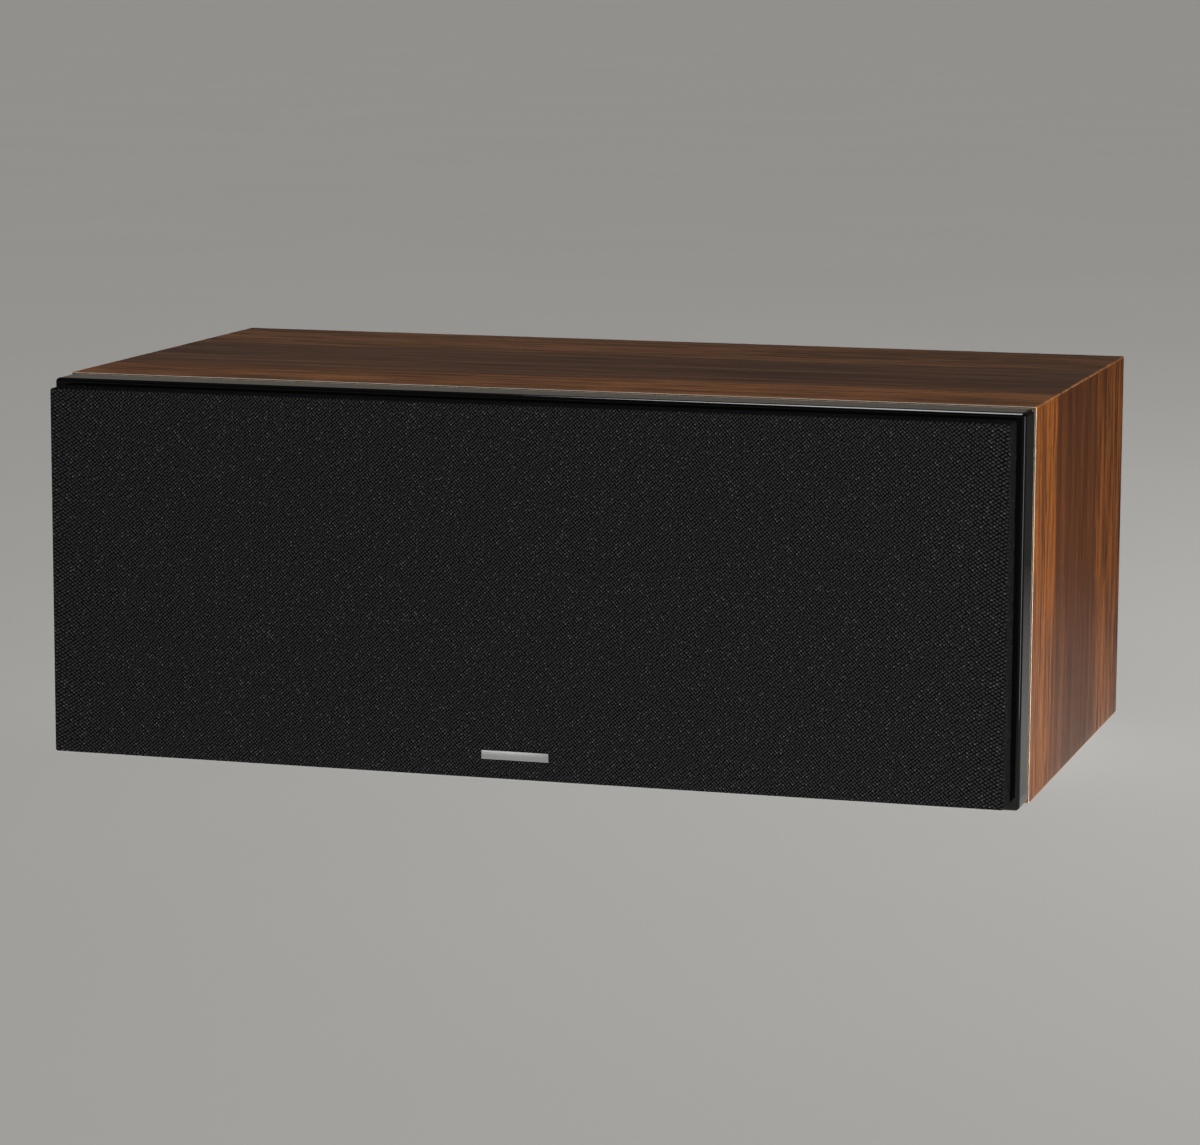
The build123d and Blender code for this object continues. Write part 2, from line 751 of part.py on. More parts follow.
def damping_pad(side):
    """Polyester wadding against the end wall, clear of the port."""
    inner = port_x + port_radius + port_wall + pad_clearance
    outer = inner_width / 2 - pad_gap
    y_near = y_baffle + yoke_back + pad_clearance
    y_far = y_panel_front - pad_gap
    height = inner_height - 2 * pad_gap
    pad = Pos(side * (inner + outer) / 2, (y_near + y_far) / 2, z_middle) * Box(
        outer - inner, y_far - y_near, height)
    return fillet(pad.edges().filter_by(Axis.Y), pad_edge)


def build_nodes():
    nodes = {
        "cabinet_sleeve": cabinet_sleeve(), "front_baffle": front_baffle(), "rear_panel": rear_panel(),
        "rubber_feet": rubber_feet(), "grille_frame": grille_frame(), "grille_cloth": grille_cloth(),
        "grille_pegs": grille_pegs(), "peg_sockets": peg_sockets(), "driver_screws": driver_screws(),
        "terminal_cup": terminal_cup(), "terminal_screws": terminal_screws(),
        "terminal_nuts": terminal_nuts(), "crossover_board": crossover_board(),
        "crossover_standoffs": crossover_standoffs(), "crossover_inductors": crossover_inductors(),
        "crossover_capacitors": crossover_capacitors(), "crossover_resistor": crossover_resistor(),
    }
    woofer = {
        "basket": woofer_basket(), "gasket": flange_gasket(woofer_radius, woofer_cutout),
        "surround": woofer_surround(), "cone": woofer_cone(), "dust_cap": woofer_dust_cap(),
        "spider": woofer_spider(), "voice_coil": woofer_coil(), "top_plate": woofer_top_plate(),
        "magnet": woofer_magnet(), "yoke": woofer_yoke(),
    }
    tweeter = {
        "faceplate": tweeter_faceplate(), "gasket": flange_gasket(tweeter_radius, tweeter_cutout),
        "dome": tweeter_dome(), "voice_coil": tweeter_coil(), "top_plate": tweeter_top_plate(),
        "magnet": tweeter_magnet(), "yoke": tweeter_yoke(),
    }
    for name, side in (("left", -1), ("right", 1)):
        nodes[f"{name}_brace"] = brace(side)
        nodes[f"{name}_damping_pad"] = damping_pad(side)
        nodes[f"{name}_port"] = facing(side * port_x, y_panel_front, z_middle) * reflex_port()
        for piece, shape in woofer.items():
            nodes[f"{name}_woofer_{piece}"] = facing(side * woofer_x, y_baffle, z_middle) * shape
    for piece, shape in tweeter.items():
        nodes[f"tweeter_{piece}"] = facing(0, y_baffle, z_middle) * shape
    for colour, x in post_spots.items():
        place = facing(x, y_cup_floor, z_middle)
        nodes[f"{colour}_post"] = place * binding_post()
        nodes[f"{colour}_knob_insert"] = place * knob_insert()
        nodes[f"{colour}_knob"] = place * binding_knob()
    return nodes


os.makedirs("parts", exist_ok=True)
for name, shape in build_nodes().items():
    solid = Compound(shape) if isinstance(shape, list) else shape
    export_step(solid, f"parts/{name}.step")
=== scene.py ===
import json
import math
from functools import partial

import bmesh
import bpy
from mathutils import Matrix, Vector, noise

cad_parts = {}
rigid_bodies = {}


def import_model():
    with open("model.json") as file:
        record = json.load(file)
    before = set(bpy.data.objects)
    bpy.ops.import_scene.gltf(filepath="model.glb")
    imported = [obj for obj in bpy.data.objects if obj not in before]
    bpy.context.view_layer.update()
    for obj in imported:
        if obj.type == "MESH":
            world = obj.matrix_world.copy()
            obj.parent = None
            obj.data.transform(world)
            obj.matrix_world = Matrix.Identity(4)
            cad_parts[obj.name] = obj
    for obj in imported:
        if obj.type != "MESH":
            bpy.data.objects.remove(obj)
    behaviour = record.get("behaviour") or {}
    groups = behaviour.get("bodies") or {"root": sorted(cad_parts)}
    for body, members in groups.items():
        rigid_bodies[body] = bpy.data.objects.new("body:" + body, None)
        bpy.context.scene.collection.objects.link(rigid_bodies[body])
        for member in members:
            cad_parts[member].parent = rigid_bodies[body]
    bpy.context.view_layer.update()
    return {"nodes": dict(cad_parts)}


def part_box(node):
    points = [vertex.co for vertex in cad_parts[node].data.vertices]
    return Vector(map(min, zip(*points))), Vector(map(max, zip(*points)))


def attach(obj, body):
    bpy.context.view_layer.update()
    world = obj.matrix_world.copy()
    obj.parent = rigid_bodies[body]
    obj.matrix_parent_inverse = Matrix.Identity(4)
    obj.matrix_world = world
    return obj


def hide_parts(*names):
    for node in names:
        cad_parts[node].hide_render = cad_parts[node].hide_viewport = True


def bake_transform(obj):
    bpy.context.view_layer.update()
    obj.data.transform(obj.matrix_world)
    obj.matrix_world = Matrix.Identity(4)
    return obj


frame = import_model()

nodes = frame["nodes"]


# Cabinet sleeve: a 15 mm fibreboard, wrapped in printed walnut foil, V-grooved on its inner face and folded
# round into one tube. The grain runs round the tube and crosses the folds unbroken. The foil is trimmed on
# the eased front edge, where bare board shows as a thin pale line against the lacquered slab. Between it and
# the slab, a thinner black strip of painted shade stands for the dark gap at the seam.
sleeve_low, sleeve_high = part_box("cabinet_sleeve")
board = 0.015
fold_radius = 0.0006
inner_corner = 0.00015
seam_easing, shade_strip_width, bare_width = 0.0006, 0.0002, 0.00025
back_easing = 0.0003
fold_support = 0.0005
fold_steps = 6


def linear(code):
    """A colour written as sRGB hex, as the linear values that shaders take."""
    channels = [int(code[i:i + 2], 16) / 255 for i in (1, 3, 5)]
    return tuple(c / 12.92 if c <= 0.04045 else ((c + 0.055) / 1.055) ** 2.4 for c in channels) + (1.0,)


def fill(node, sockets):
    """Sets a node's inputs to values, or links them to other nodes' outputs. A list links several to one."""
    for name, given in sockets.items():
        for value in given if isinstance(given, list) else [given]:
            if isinstance(value, bpy.types.NodeSocket):
                node.id_data.links.new(value, node.inputs[name])
            else:
                node.inputs[name].default_value = value


def add_node(tree, kind, sockets=None, out=0, **settings):
    """Adds a node with its settings, its values and its links, and returns one of its outputs."""
    node = tree.nodes.new(kind)
    for name, value in settings.items():
        setattr(node, name, value)
    fill(node, sockets or {})
    return node.outputs[out]


def new_material(name, constants):
    """A material, a function that adds nodes to it, and its one Principled shader, whose even values are set
    on its own sockets."""
    material = bpy.data.materials.new(name)
    material.use_nodes = True
    shader = material.node_tree.nodes["Principled BSDF"]
    fill(shader, constants)
    return material, partial(add_node, material.node_tree), shader


def set_ramp(ramp, stops):
    """Gives a Color Ramp its stops, each a place from 0 to 1 and a colour."""
    elements = ramp.node.color_ramp.elements
    while len(elements) < len(stops):
        elements.new(1.0)
    for element, (place, code) in zip(elements, stops):
        element.position = place
        element.color = linear(code)


def rounded_loop(half_width, half_height, radius):
    """Points (x, z) round a rectangle with rounded corners, from the middle of its floor towards +X. Each
    corner is an arc with one supporting point before it and one after."""
    points = [Vector((0.0, -half_height))]
    for right, up, start in ((1, -1, -90), (1, 1, 0), (-1, 1, 90), (-1, -1, 180)):
        centre = Vector((right * (half_width - radius), up * (half_height - radius)))
        angles = [math.radians(start + 90 * step / fold_steps) for step in range(fold_steps + 1)]
        arc = [centre + radius * Vector((math.cos(a), math.sin(a))) for a in angles]
        before, after = (Vector((-math.sin(a), math.cos(a))) for a in (angles[0], angles[-1]))
        points += [arc[0] - fold_support * before, *arc, arc[-1] + fold_support * after]
    return points


def running_length(points, closed):
    """The length along a line of points, at each of them, with the whole length last if it is closed."""
    line = [*points, points[0]] if closed else points
    lengths = [0.0]
    for a, b in zip(line, line[1:]):
        lengths.append(lengths[-1] + (b - a).length)
    return lengths


def mesh_from(shape, name):
    """Turns a built shape into a mesh."""
    mesh = bpy.data.meshes.new(name)
    shape.to_mesh(mesh)
    shape.free()
    return mesh


def smooth(mesh, sharp_angle=35):
    """Shades a mesh smooth, but for edges sharper than an angle in degrees."""
    mesh.shade_smooth()
    mesh.set_sharp_from_angle(angle=math.radians(sharp_angle))


def add_piece(name, mesh, *materials):
    """Puts a mesh into the scene as a piece."""
    smooth(mesh)
    for material in materials:
        mesh.materials.append(material)
    piece = bpy.data.objects.new(name, mesh)
    bpy.context.collection.objects.link(piece)
    return piece


def skin(name, rows, u, v, tube=False, finishes=None):
    """A mesh over closed rows of points. u runs along a row and v from row to row, in metres, and they are
    its UV map. tube closes the last row to the first, and finishes has each strip's slot."""
    shell = bmesh.new()
    uv = shell.loops.layers.uv.new("cut")
    count = len(rows[0])
    grid = [[shell.verts.new(point) for point in row] for row in rows]
    for r in range(len(rows) if tube else len(rows) - 1):
        for c in range(count):
            corners = ((r, c), (r, c + 1), (r + 1, c + 1), (r + 1, c))
            face = shell.faces.new([grid[i % len(rows)][k % count] for i, k in corners])
            face.material_index = finishes[r] if finishes else 0
            for loop, (i, k) in zip(face.loops, corners):
                loop[uv].uv = (u[k], v[i])
    bmesh.ops.recalc_face_normals(shell, faces=shell.faces)
    return mesh_from(shell, name)


# Walnut foil, printed and satin lacquered: planks of straight grain joined side by side, a golden one in
# front, a dark one in the middle and a reddish one behind. Each has early and late wood in long streaks and
# fine lines, the lighter ones a short wavy figure too. Pores are short and dark. Folds show a pale line that
# is partly rubbed foil and partly a painted highlight.
def walnut_foil():
    sway_length, sway_width, sway = 0.25, 0.12, 0.004
    streak_length, streak_width = 0.34, 0.014
    line_length, line_width = 0.11, 0.0042
    figure_length, figure_width = 0.045, 0.0019
    pore_length, pore_width, pore_depth = 0.007, 0.0006, 0.00008
    wear_and_highlight_length = 0.012
    line_share, curl_share, pore_share = 0.8, 0.8, 0.5
    sleeve_depth = sleeve_high[1] - sleeve_low[1]
    late_wood = ((0.000, "#4d2a12"), (0.055, "#4b2911"), (0.058, "#3b1e0d"), (0.120, "#341a0c"),
                 (0.161, "#361c0d"), (0.166, "#2a160a"), (0.170, "#3d210f"), (0.249, "#3a1f0e"))
    early_wood = ((0.000, "#965821"), (0.055, "#935620"), (0.058, "#653815"), (0.120, "#5b3313"),
                  (0.161, "#5e3515"), (0.166, "#45270f"), (0.170, "#7b471b"), (0.249, "#77451a"))
    figured = ((0.000, "#ffffff"), (0.055, "#ffffff"), (0.058, "#b0b0b0"), (0.166, "#b0b0b0"),
               (0.170, "#ffffff"), (0.249, "#ffffff"))
    material, add, shader = new_material("Walnut foil, satin lacquered", {"Specular IOR Level": 0.10})
    uv = add("ShaderNodeUVMap", uv_map="cut", out="UV")

    def stretched(vector, length, width, **sockets):
        """Noise drawn out along the grain."""
        place = add("ShaderNodeMapping", {"Vector": vector, "Scale": (1 / length, 1 / width, 1.0)})
        return add("ShaderNodeTexNoise", {"Vector": place, "Scale": 1.0, **sockets}, out="Fac")

    wander = stretched(uv, sway_length, sway_width, Detail=2.0)
    shift = add("ShaderNodeMapRange", {"Value": wander, "To Min": -sway, "To Max": sway})
    offset = add("ShaderNodeCombineXYZ", {"Y": shift})
    along = add("ShaderNodeVectorMath", {0: uv, 1: offset}, operation="ADD")
    depth = add("ShaderNodeSeparateXYZ", {0: along}, out="Y")
    share = add("ShaderNodeMapRange", {"Value": depth, "From Max": sleeve_depth})
    planks = []
    for stops in (late_wood, early_wood, figured):
        ramp = add("ShaderNodeValToRGB", {"Fac": share})
        set_ramp(ramp, [(place / sleeve_depth, code) for place, code in stops])
        planks.append(ramp)

    streak = stretched(along, streak_length, streak_width, Detail=4.0, Roughness=0.62)
    line = stretched(along, line_length, line_width, Detail=2.0, Roughness=0.6)
    figure = stretched(along, figure_length, figure_width, Detail=2.0, Distortion=0.7)
    curl = add("ShaderNodeMapRange", {"Value": figure, "To Min": -curl_share, "To Max": curl_share})
    curled = add("ShaderNodeMath", {0: curl, 1: planks[2]}, operation="MULTIPLY")
    drawn = add("ShaderNodeMath", {0: line, 1: line_share, 2: streak}, operation="MULTIPLY_ADD")
    grain = add("ShaderNodeMath", {0: drawn, 1: curled}, operation="ADD")
    early = add("ShaderNodeMapRange", {"Value": grain, "From Min": 0.72, "From Max": 1.10})
    toned = add("ShaderNodeMix", {0: early, 6: planks[0], 7: planks[1]}, data_type="RGBA", out=2)
    pores = stretched(along, pore_length, pore_width, Detail=0.0)
    pore = add("ShaderNodeMapRange", {"Value": pores, "From Min": 0.6, "From Max": 0.72})
    dark = add("ShaderNodeMath", {0: pore, 1: pore_share}, operation="MULTIPLY")
    pored = add("ShaderNodeMix", {0: dark, 6: toned, 7: linear("#1d100a")}, data_type="RGBA", out=2)
    # Pale line along the folds: partly rubbed foil and partly a painted highlight of the fold's edge.
    fold = add("ShaderNodeAttribute", attribute_name="fold", out="Fac")
    wear_and_highlight_noise = stretched(uv, wear_and_highlight_length, wear_and_highlight_length, Detail=2.0)
    rubbed_and_highlit = add("ShaderNodeMapRange", {
        "Value": wear_and_highlight_noise, "From Min": 0.3, "From Max": 0.6, "To Min": 0.10, "To Max": 0.55})
    fold_wear_and_highlight = add("ShaderNodeMath", {0: fold, 1: rubbed_and_highlit}, operation="MULTIPLY")
    colour = add("ShaderNodeMix", {0: fold_wear_and_highlight, 6: pored, 7: linear("#b0743f")}, data_type="RGBA", out=2)
    gloss = add("ShaderNodeMapRange", {"Value": early, "To Min": 0.34, "To Max": 0.27})
    relief = add("ShaderNodeMath", {0: line, 1: pore}, operation="SUBTRACT")
    normal = add("ShaderNodeBump", {"Height": relief, "Strength": 0.2, "Distance": pore_depth})
    fill(shader, {"Base Color": colour, "Roughness": gloss, "Normal": normal})
    return material


def two_tone(add, shader, share, colours, roughness, height, bumps=None, invert=False):
    """Finishes a shader by a share from 0 to 1: two colours mixed, a roughness from the least to the most
    unless it is None, and a relief of some height, raised by the share itself unless bumps are given."""
    relief = share if bumps is None else bumps
    colour = add("ShaderNodeMix", {
        0: share, 6: linear(colours[0]), 7: linear(colours[1])}, data_type="RGBA", out=2)
    normal = add("ShaderNodeBump", {"Height": relief, "Distance": height}, invert=invert)
    fill(shader, {"Base Color": colour, "Normal": normal})
    if roughness:
        least, most = roughness
        rough = add("ShaderNodeMapRange", {"Value": share, "To Min": least, "To Max": most})
        fill(shader, {"Roughness": rough})


# An even random grain in two colours, for board, rubber, moulded plastic and the like. grain is its size and
# relief its height, in metres, and roughness has the least and the most.
def grained(name, colours, grain, roughness, relief, constants=None):
    material, add, shader = new_material(name, constants or {})
    spot = add("ShaderNodeTexCoord", out="Object")
    flecks = add("ShaderNodeTexNoise", {"Vector": spot, "Scale": 1 / grain, "Detail": 3.0}, out="Fac")
    even = add("ShaderNodeMapRange", {"Value": flecks, "From Min": 0.3, "From Max": 0.7})
    two_tone(add, shader, even, colours, roughness, relief)
    return material


# Bare fibreboard: pressed wood fibres, dull and tan. The eased front edge is sanded paler. The black board is
# stain on the grille frame, and painted shade at the foot of the sleeve's groove, for the dark gap at the
# seam.
fibreboard = grained("Fibreboard, sawn", ("#7d5f40", "#a5845c"), 0.0011, (0.8, 0.95), 0.0001)
sanded_edge = grained("Fibreboard, sanded edge", ("#d8c6b0", "#efe3d2"), 0.0011, (0.6, 0.8), 0.00004)
black_stain_and_shade = grained("Fibreboard, stained black", ("#121212", "#1e1d1c"), 0.0012, (0.75, 0.9), 0.00006)


def cabinet_sleeve():
    half_width = (sleeve_high[0] - sleeve_low[0]) / 2
    half_height = (sleeve_high[2] - sleeve_low[2]) / 2
    middle = (sleeve_high[2] + sleeve_low[2]) / 2
    front, back = sleeve_low[1], sleeve_high[1]
    # The first strip of the eased edge is black as painted shade, then comes bare board, then the foil.
    shade_strip, trimmed = shade_strip_width, shade_strip_width + bare_width
    section = ((seam_easing, front), (seam_easing - shade_strip, front + shade_strip),
               (seam_easing - trimmed, front + trimmed), (0.0, front + seam_easing),
               (0.0, back - back_easing), (back_easing, back), (board, back), (board, front))
    groove_shade, edge, foil, sawn = range(4)
    girth = running_length(rounded_loop(half_width, half_height, fold_radius), closed=True)
    rows = []
    for inset, y in section:
        loop = rounded_loop(half_width - inset, half_height - inset, max(fold_radius - inset, inner_corner))
        rows.append([(x, y, middle + z) for x, z in loop])
    depths = running_length([Vector(point) for point in section], closed=True)
    mesh = skin("walnut_sleeve", rows, girth, depths, tube=True,
                finishes=(groove_shade, edge, foil, foil, foil, foil, sawn, sawn))
    fold = mesh.attributes.new("fold", "FLOAT", "POINT")
    corner_points = fold_steps + 3
    for vertex in mesh.vertices:
        place = vertex.index % len(rows[0])
        on_arc = place > 0 and (place - 1) % corner_points not in (0, corner_points - 1)
        fold.data[vertex.index].value = float(on_arc)
    return mesh


sleeve = add_piece("walnut_sleeve", cabinet_sleeve(), black_stain_and_shade, sanded_edge, walnut_foil(), fibreboard)
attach(sleeve, "cabinet")
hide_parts("cabinet_sleeve")
sleeve.visible_diffuse = False    # so that the wood throws no brown light on the grey floor


# Front baffle: a 22.5 mm board, sprayed with black polyester lacquer and polished, with a tongue that is
# glued into the sleeve. Its edges are rounded over before spraying.
def dress(material, *names):
    """Gives CAD pieces that keep their own shape a finish."""
    for name in names:
        nodes[name].data.materials.clear()
        nodes[name].data.materials.append(material)


# Polished polyester lacquer: a deep black mirror, with a trace of orange peel and of fine polishing haze.
def piano_lacquer():
    peel_size, peel_height, hazes_per_metre = 0.006, 0.000004, 35.0
    material, add, shader = new_material("Polyester lacquer, polished black", {"IOR": 1.48})
    spot = add("ShaderNodeTexCoord", out="Object")
    peel = add("ShaderNodeTexNoise", {"Vector": spot, "Scale": 1 / peel_size, "Detail": 1.0}, out="Fac")
    haze = add("ShaderNodeTexNoise", {"Vector": spot, "Scale": hazes_per_metre, "Detail": 3.0}, out="Fac")
    two_tone(add, shader, haze, ("#0e0e0f", "#141415"), (0.03, 0.09), peel_height, bumps=peel)
    return material


dress(piano_lacquer(), "front_baffle")


# Rear panel: a board in black vinyl, glued into the sleeve a little below its edge, with cut-outs for the
# ports and the terminal cup. The vinyl is embossed with a fine leather-like pebble.
def pebbled_vinyl():
    pebble, pebble_height = 0.0011, 0.00008
    material, add, shader = new_material("Vinyl foil, embossed black", {"Specular IOR Level": 0.4})
    spot = add("ShaderNodeTexCoord", out="Object")
    cells = add("ShaderNodeTexVoronoi", {"Vector": spot, "Scale": 1 / pebble}, out="Distance")
    two_tone(add, shader, cells, ("#1c1c1d", "#0d0d0e"), (0.42, 0.62), pebble_height, invert=True)
    return material


dress(pebbled_vinyl(), "rear_panel")


# Window braces: two panels of bare fibreboard, glued upright between floor and top to stop the walls
# from ringing.
dress(fibreboard, "left_brace", "right_brace")


# Damping pads: bats of white polyester wadding, cut from a roll and pressed against the end walls. They
# swell between their corners and have a loose, lumpy face.
def damping_pad(name, node):
    spacing, rounding, crown, lump, lump_size = 0.009, 0.012, 0.004, 0.0012, 0.03
    nearly_one = 0.999
    low, high = (Vector(corner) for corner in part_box(node))
    middle, half = (low + high) / 2, (high - low) / 2
    pad = bmesh.new()
    bmesh.ops.create_cube(pad, size=2.0)
    cuts = int(max(half) * 2 / spacing)
    bmesh.ops.subdivide_edges(pad, edges=pad.edges, cuts=cuts, use_grid_fill=True)
    for vertex in pad.verts:
        share = vertex.co.copy()
        place = Vector([share[i] * half[i] for i in range(3)])
        inner = Vector([max(min(place[i], half[i] - rounding), rounding - half[i]) for i in range(3)])
        out = place - inner
        on_face = abs(share[0]) > nearly_one
        swell = crown * (1 - max(abs(share[1]), abs(share[2]))) if on_face else 0.0
        wobble = lump * (noise.noise((middle + inner) / lump_size) - 1)
        reach = rounding - crown + swell + wobble
        vertex.co = middle + inner + out.normalized() * reach
    return mesh_from(pad, name)


# Polyester wadding: tangled white fibres that scatter light, with soft hollows and no gloss.
wadding = grained("Polyester wadding, bonded", ("#b9b8b2", "#e6e5df"), 0.0022, (0.9, 1.0), 0.0008,
                  {"Sheen Weight": 0.4, "Specular IOR Level": 0.1})
for side in ("left", "right"):
    pad = add_piece(f"{side}_wadding", damping_pad(f"{side}_wadding", f"{side}_damping_pad"), wadding)
    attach(pad, "cabinet")
    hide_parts(f"{side}_damping_pad")


# Rubber feet: four moulded buttons, stuck under the cabinet's corners. Matt black rubber, a little dusty.
rubber = grained("Nitrile rubber, moulded", ("#141414", "#1f1f1f"), 0.0006, (0.62, 0.8), 0.00002,
                 {"Specular IOR Level": 0.35})
dress(rubber, "rubber_feet")


# Reflex ports: two flared tubes of moulded ABS, pushed through the rear panel from outside. The tool's
# spark-eroded face leaves a fine even grain.
moulded_abs = grained("ABS, moulded with a spark-eroded grain", ("#121213", "#1c1c1d"), 0.0005, (0.42, 0.6),
                      0.00003, {"Specular IOR Level": 0.45})
dress(moulded_abs, "left_port", "right_port")


# Terminal cup: a moulded ABS recess in the rear panel that holds two binding posts, each a gold-plated brass
# stud with a nut behind the cup and a screw knob on a brass bush in front of it.
dress(moulded_abs, "terminal_cup")


# Gold-plated brass: warm and bright, a little stained, with the rings that turning leaves round its axis.
def plated_brass():
    ring_spacing, ring_height, stain_size = 0.001645, 0.000006, 0.0025
    wave_radians = 20.0    # in a unit of the wave texture
    material, add, shader = new_material("Brass, turned and gold plated", {"Metallic": 1.0})
    spot = add("ShaderNodeTexCoord", out="Object")
    ring_scale = 2 * math.pi / (wave_radians * ring_spacing)
    rings = add("ShaderNodeTexWave", {
        "Vector": spot, "Scale": ring_scale, "Distortion": 1.0}, bands_direction="Y", out="Fac")
    stain = add("ShaderNodeTexNoise", {"Vector": spot, "Scale": 1 / stain_size, "Detail": 2.0}, out="Fac")
    two_tone(add, shader, stain, ("#c99a4e", "#ecc878"), (0.16, 0.34), ring_height, bumps=rings)
    return material


brass = plated_brass()
dress(brass, "red_knob_insert", "black_knob_insert", "terminal_nuts")


def settle(piece, kind, **settings):
    """Applies one modifier to a piece's mesh and takes it off again."""
    modifier = piece.modifiers.new(kind.title(), kind)
    for name, value in settings.items():
        setattr(modifier, name, value)
    shaped = bpy.data.meshes.new_from_object(piece.evaluated_get(bpy.context.evaluated_depsgraph_get()))
    piece.modifiers.clear()
    piece.data = shaped


def bore(piece, places, radius, length, turn):
    """Drills round holes through a piece, all along one line, which is Z after a turn."""
    drill = bmesh.new()
    for place in places:
        bmesh.ops.create_cone(drill, cap_ends=True, segments=24, radius1=radius, radius2=radius, depth=length,
                              matrix=Matrix.Translation(place) @ turn)
    cutter = bpy.data.objects.new("drill", mesh_from(drill, "drill"))
    bpy.context.collection.objects.link(cutter)
    settle(piece, "BOOLEAN", operation="DIFFERENCE", object=cutter, solver="EXACT")
    bpy.data.objects.remove(cutter)


def threaded_post(name, node):
    """The stud with its collar and rolled thread, banana socket and cross hole."""
    radius, thread_root, front_length, axis_gap = 0.004, 0.0034, 0.020, 0.0002
    collar_radius, collar, collar_bevel = 0.007, 0.003, 0.0003
    pitch, rows_per_pitch, around = 0.001, 8, 40
    socket_radius, socket_depth, socket_bevel = 0.002, 0.012, 0.0006
    hole_radius, hole_rise = 0.0015, 0.0018
    low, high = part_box(node)
    axis_x, axis_z = (low[0] + high[0]) / 2, (low[2] + high[2]) / 2
    tail, tip = low[1], high[1]
    seat, collar_rim = tip - front_length, collar_radius - collar_bevel
    step = pitch / rows_per_pitch

    def thread(y, angle):
        turn = (y / pitch - angle / (2 * math.pi)) % 1.0
        return radius - (radius - thread_root) * abs(2 * turn - 1)

    def plain(r):
        return lambda y, angle: r

    def threaded(start, end):
        count = round((end - start) / step)
        return [(start + (end - start) * i / count, thread) for i in range(count + 1)]

    profile = [(tail, plain(axis_gap)), (tail, plain(thread_root)), *threaded(tail + step, seat - step)]
    profile += [(seat, plain(thread_root)), (seat, plain(collar_rim)),
                (seat + collar_bevel, plain(collar_radius)),
                (seat + collar - collar_bevel, plain(collar_radius)),
                (seat + collar, plain(collar_rim)), (seat + collar, plain(thread_root))]
    profile += threaded(seat + collar + step, tip - 2 * step)
    profile += [(tip, plain(thread_root)), (tip, plain(socket_radius + socket_bevel)),
                (tip - socket_bevel, plain(socket_radius)), (tip - socket_depth, plain(socket_radius)),
                (tip - socket_depth, plain(axis_gap))]
    angles = [2 * math.pi * i / around for i in range(around)]
    rows = [[(axis_x + r(y, a) * math.cos(a), y, axis_z + r(y, a) * math.sin(a)) for a in angles]
            for y, r in profile]
    mesh = skin(name, rows, [0.0] * (around + 1), [0.0] * len(rows))
    stud = bmesh.new()
    stud.from_mesh(mesh)
    bmesh.ops.holes_fill(stud, edges=[edge for edge in stud.edges if edge.is_boundary])
    bmesh.ops.recalc_face_normals(stud, faces=stud.faces)
    stud.to_mesh(mesh)
    stud.free()
    post = add_piece(name, mesh, brass)
    bore(post, [(axis_x, seat + collar + hole_rise, axis_z)], hole_radius, 4 * radius,
         Matrix.Rotation(math.pi / 2, 4, "Y"))
    return post


for colour in ("red", "black"):
    post = threaded_post(f"{colour}_threaded_post", f"{colour}_post")
    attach(post, "cabinet")
    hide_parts(f"{colour}_post")


# Knobs: injection-moulded in clear-coloured plastic. Glossy, with a slight glow in the red one's edges.
red_knob = grained("Acrylic, moulded clear red", ("#8e0d10", "#b81a1c"), 0.004, (0.12, 0.2), 0.000002,
                   {"Coat Weight": 0.4, "Subsurface Weight": 0.15, "Subsurface Scale": 0.002})
black_knob = grained("Acrylic, moulded black", ("#0b0b0c", "#121213"), 0.004, (0.12, 0.2), 0.000002,
                     {"Coat Weight": 0.4})
dress(red_knob, "red_knob")
dress(black_knob, "black_knob")


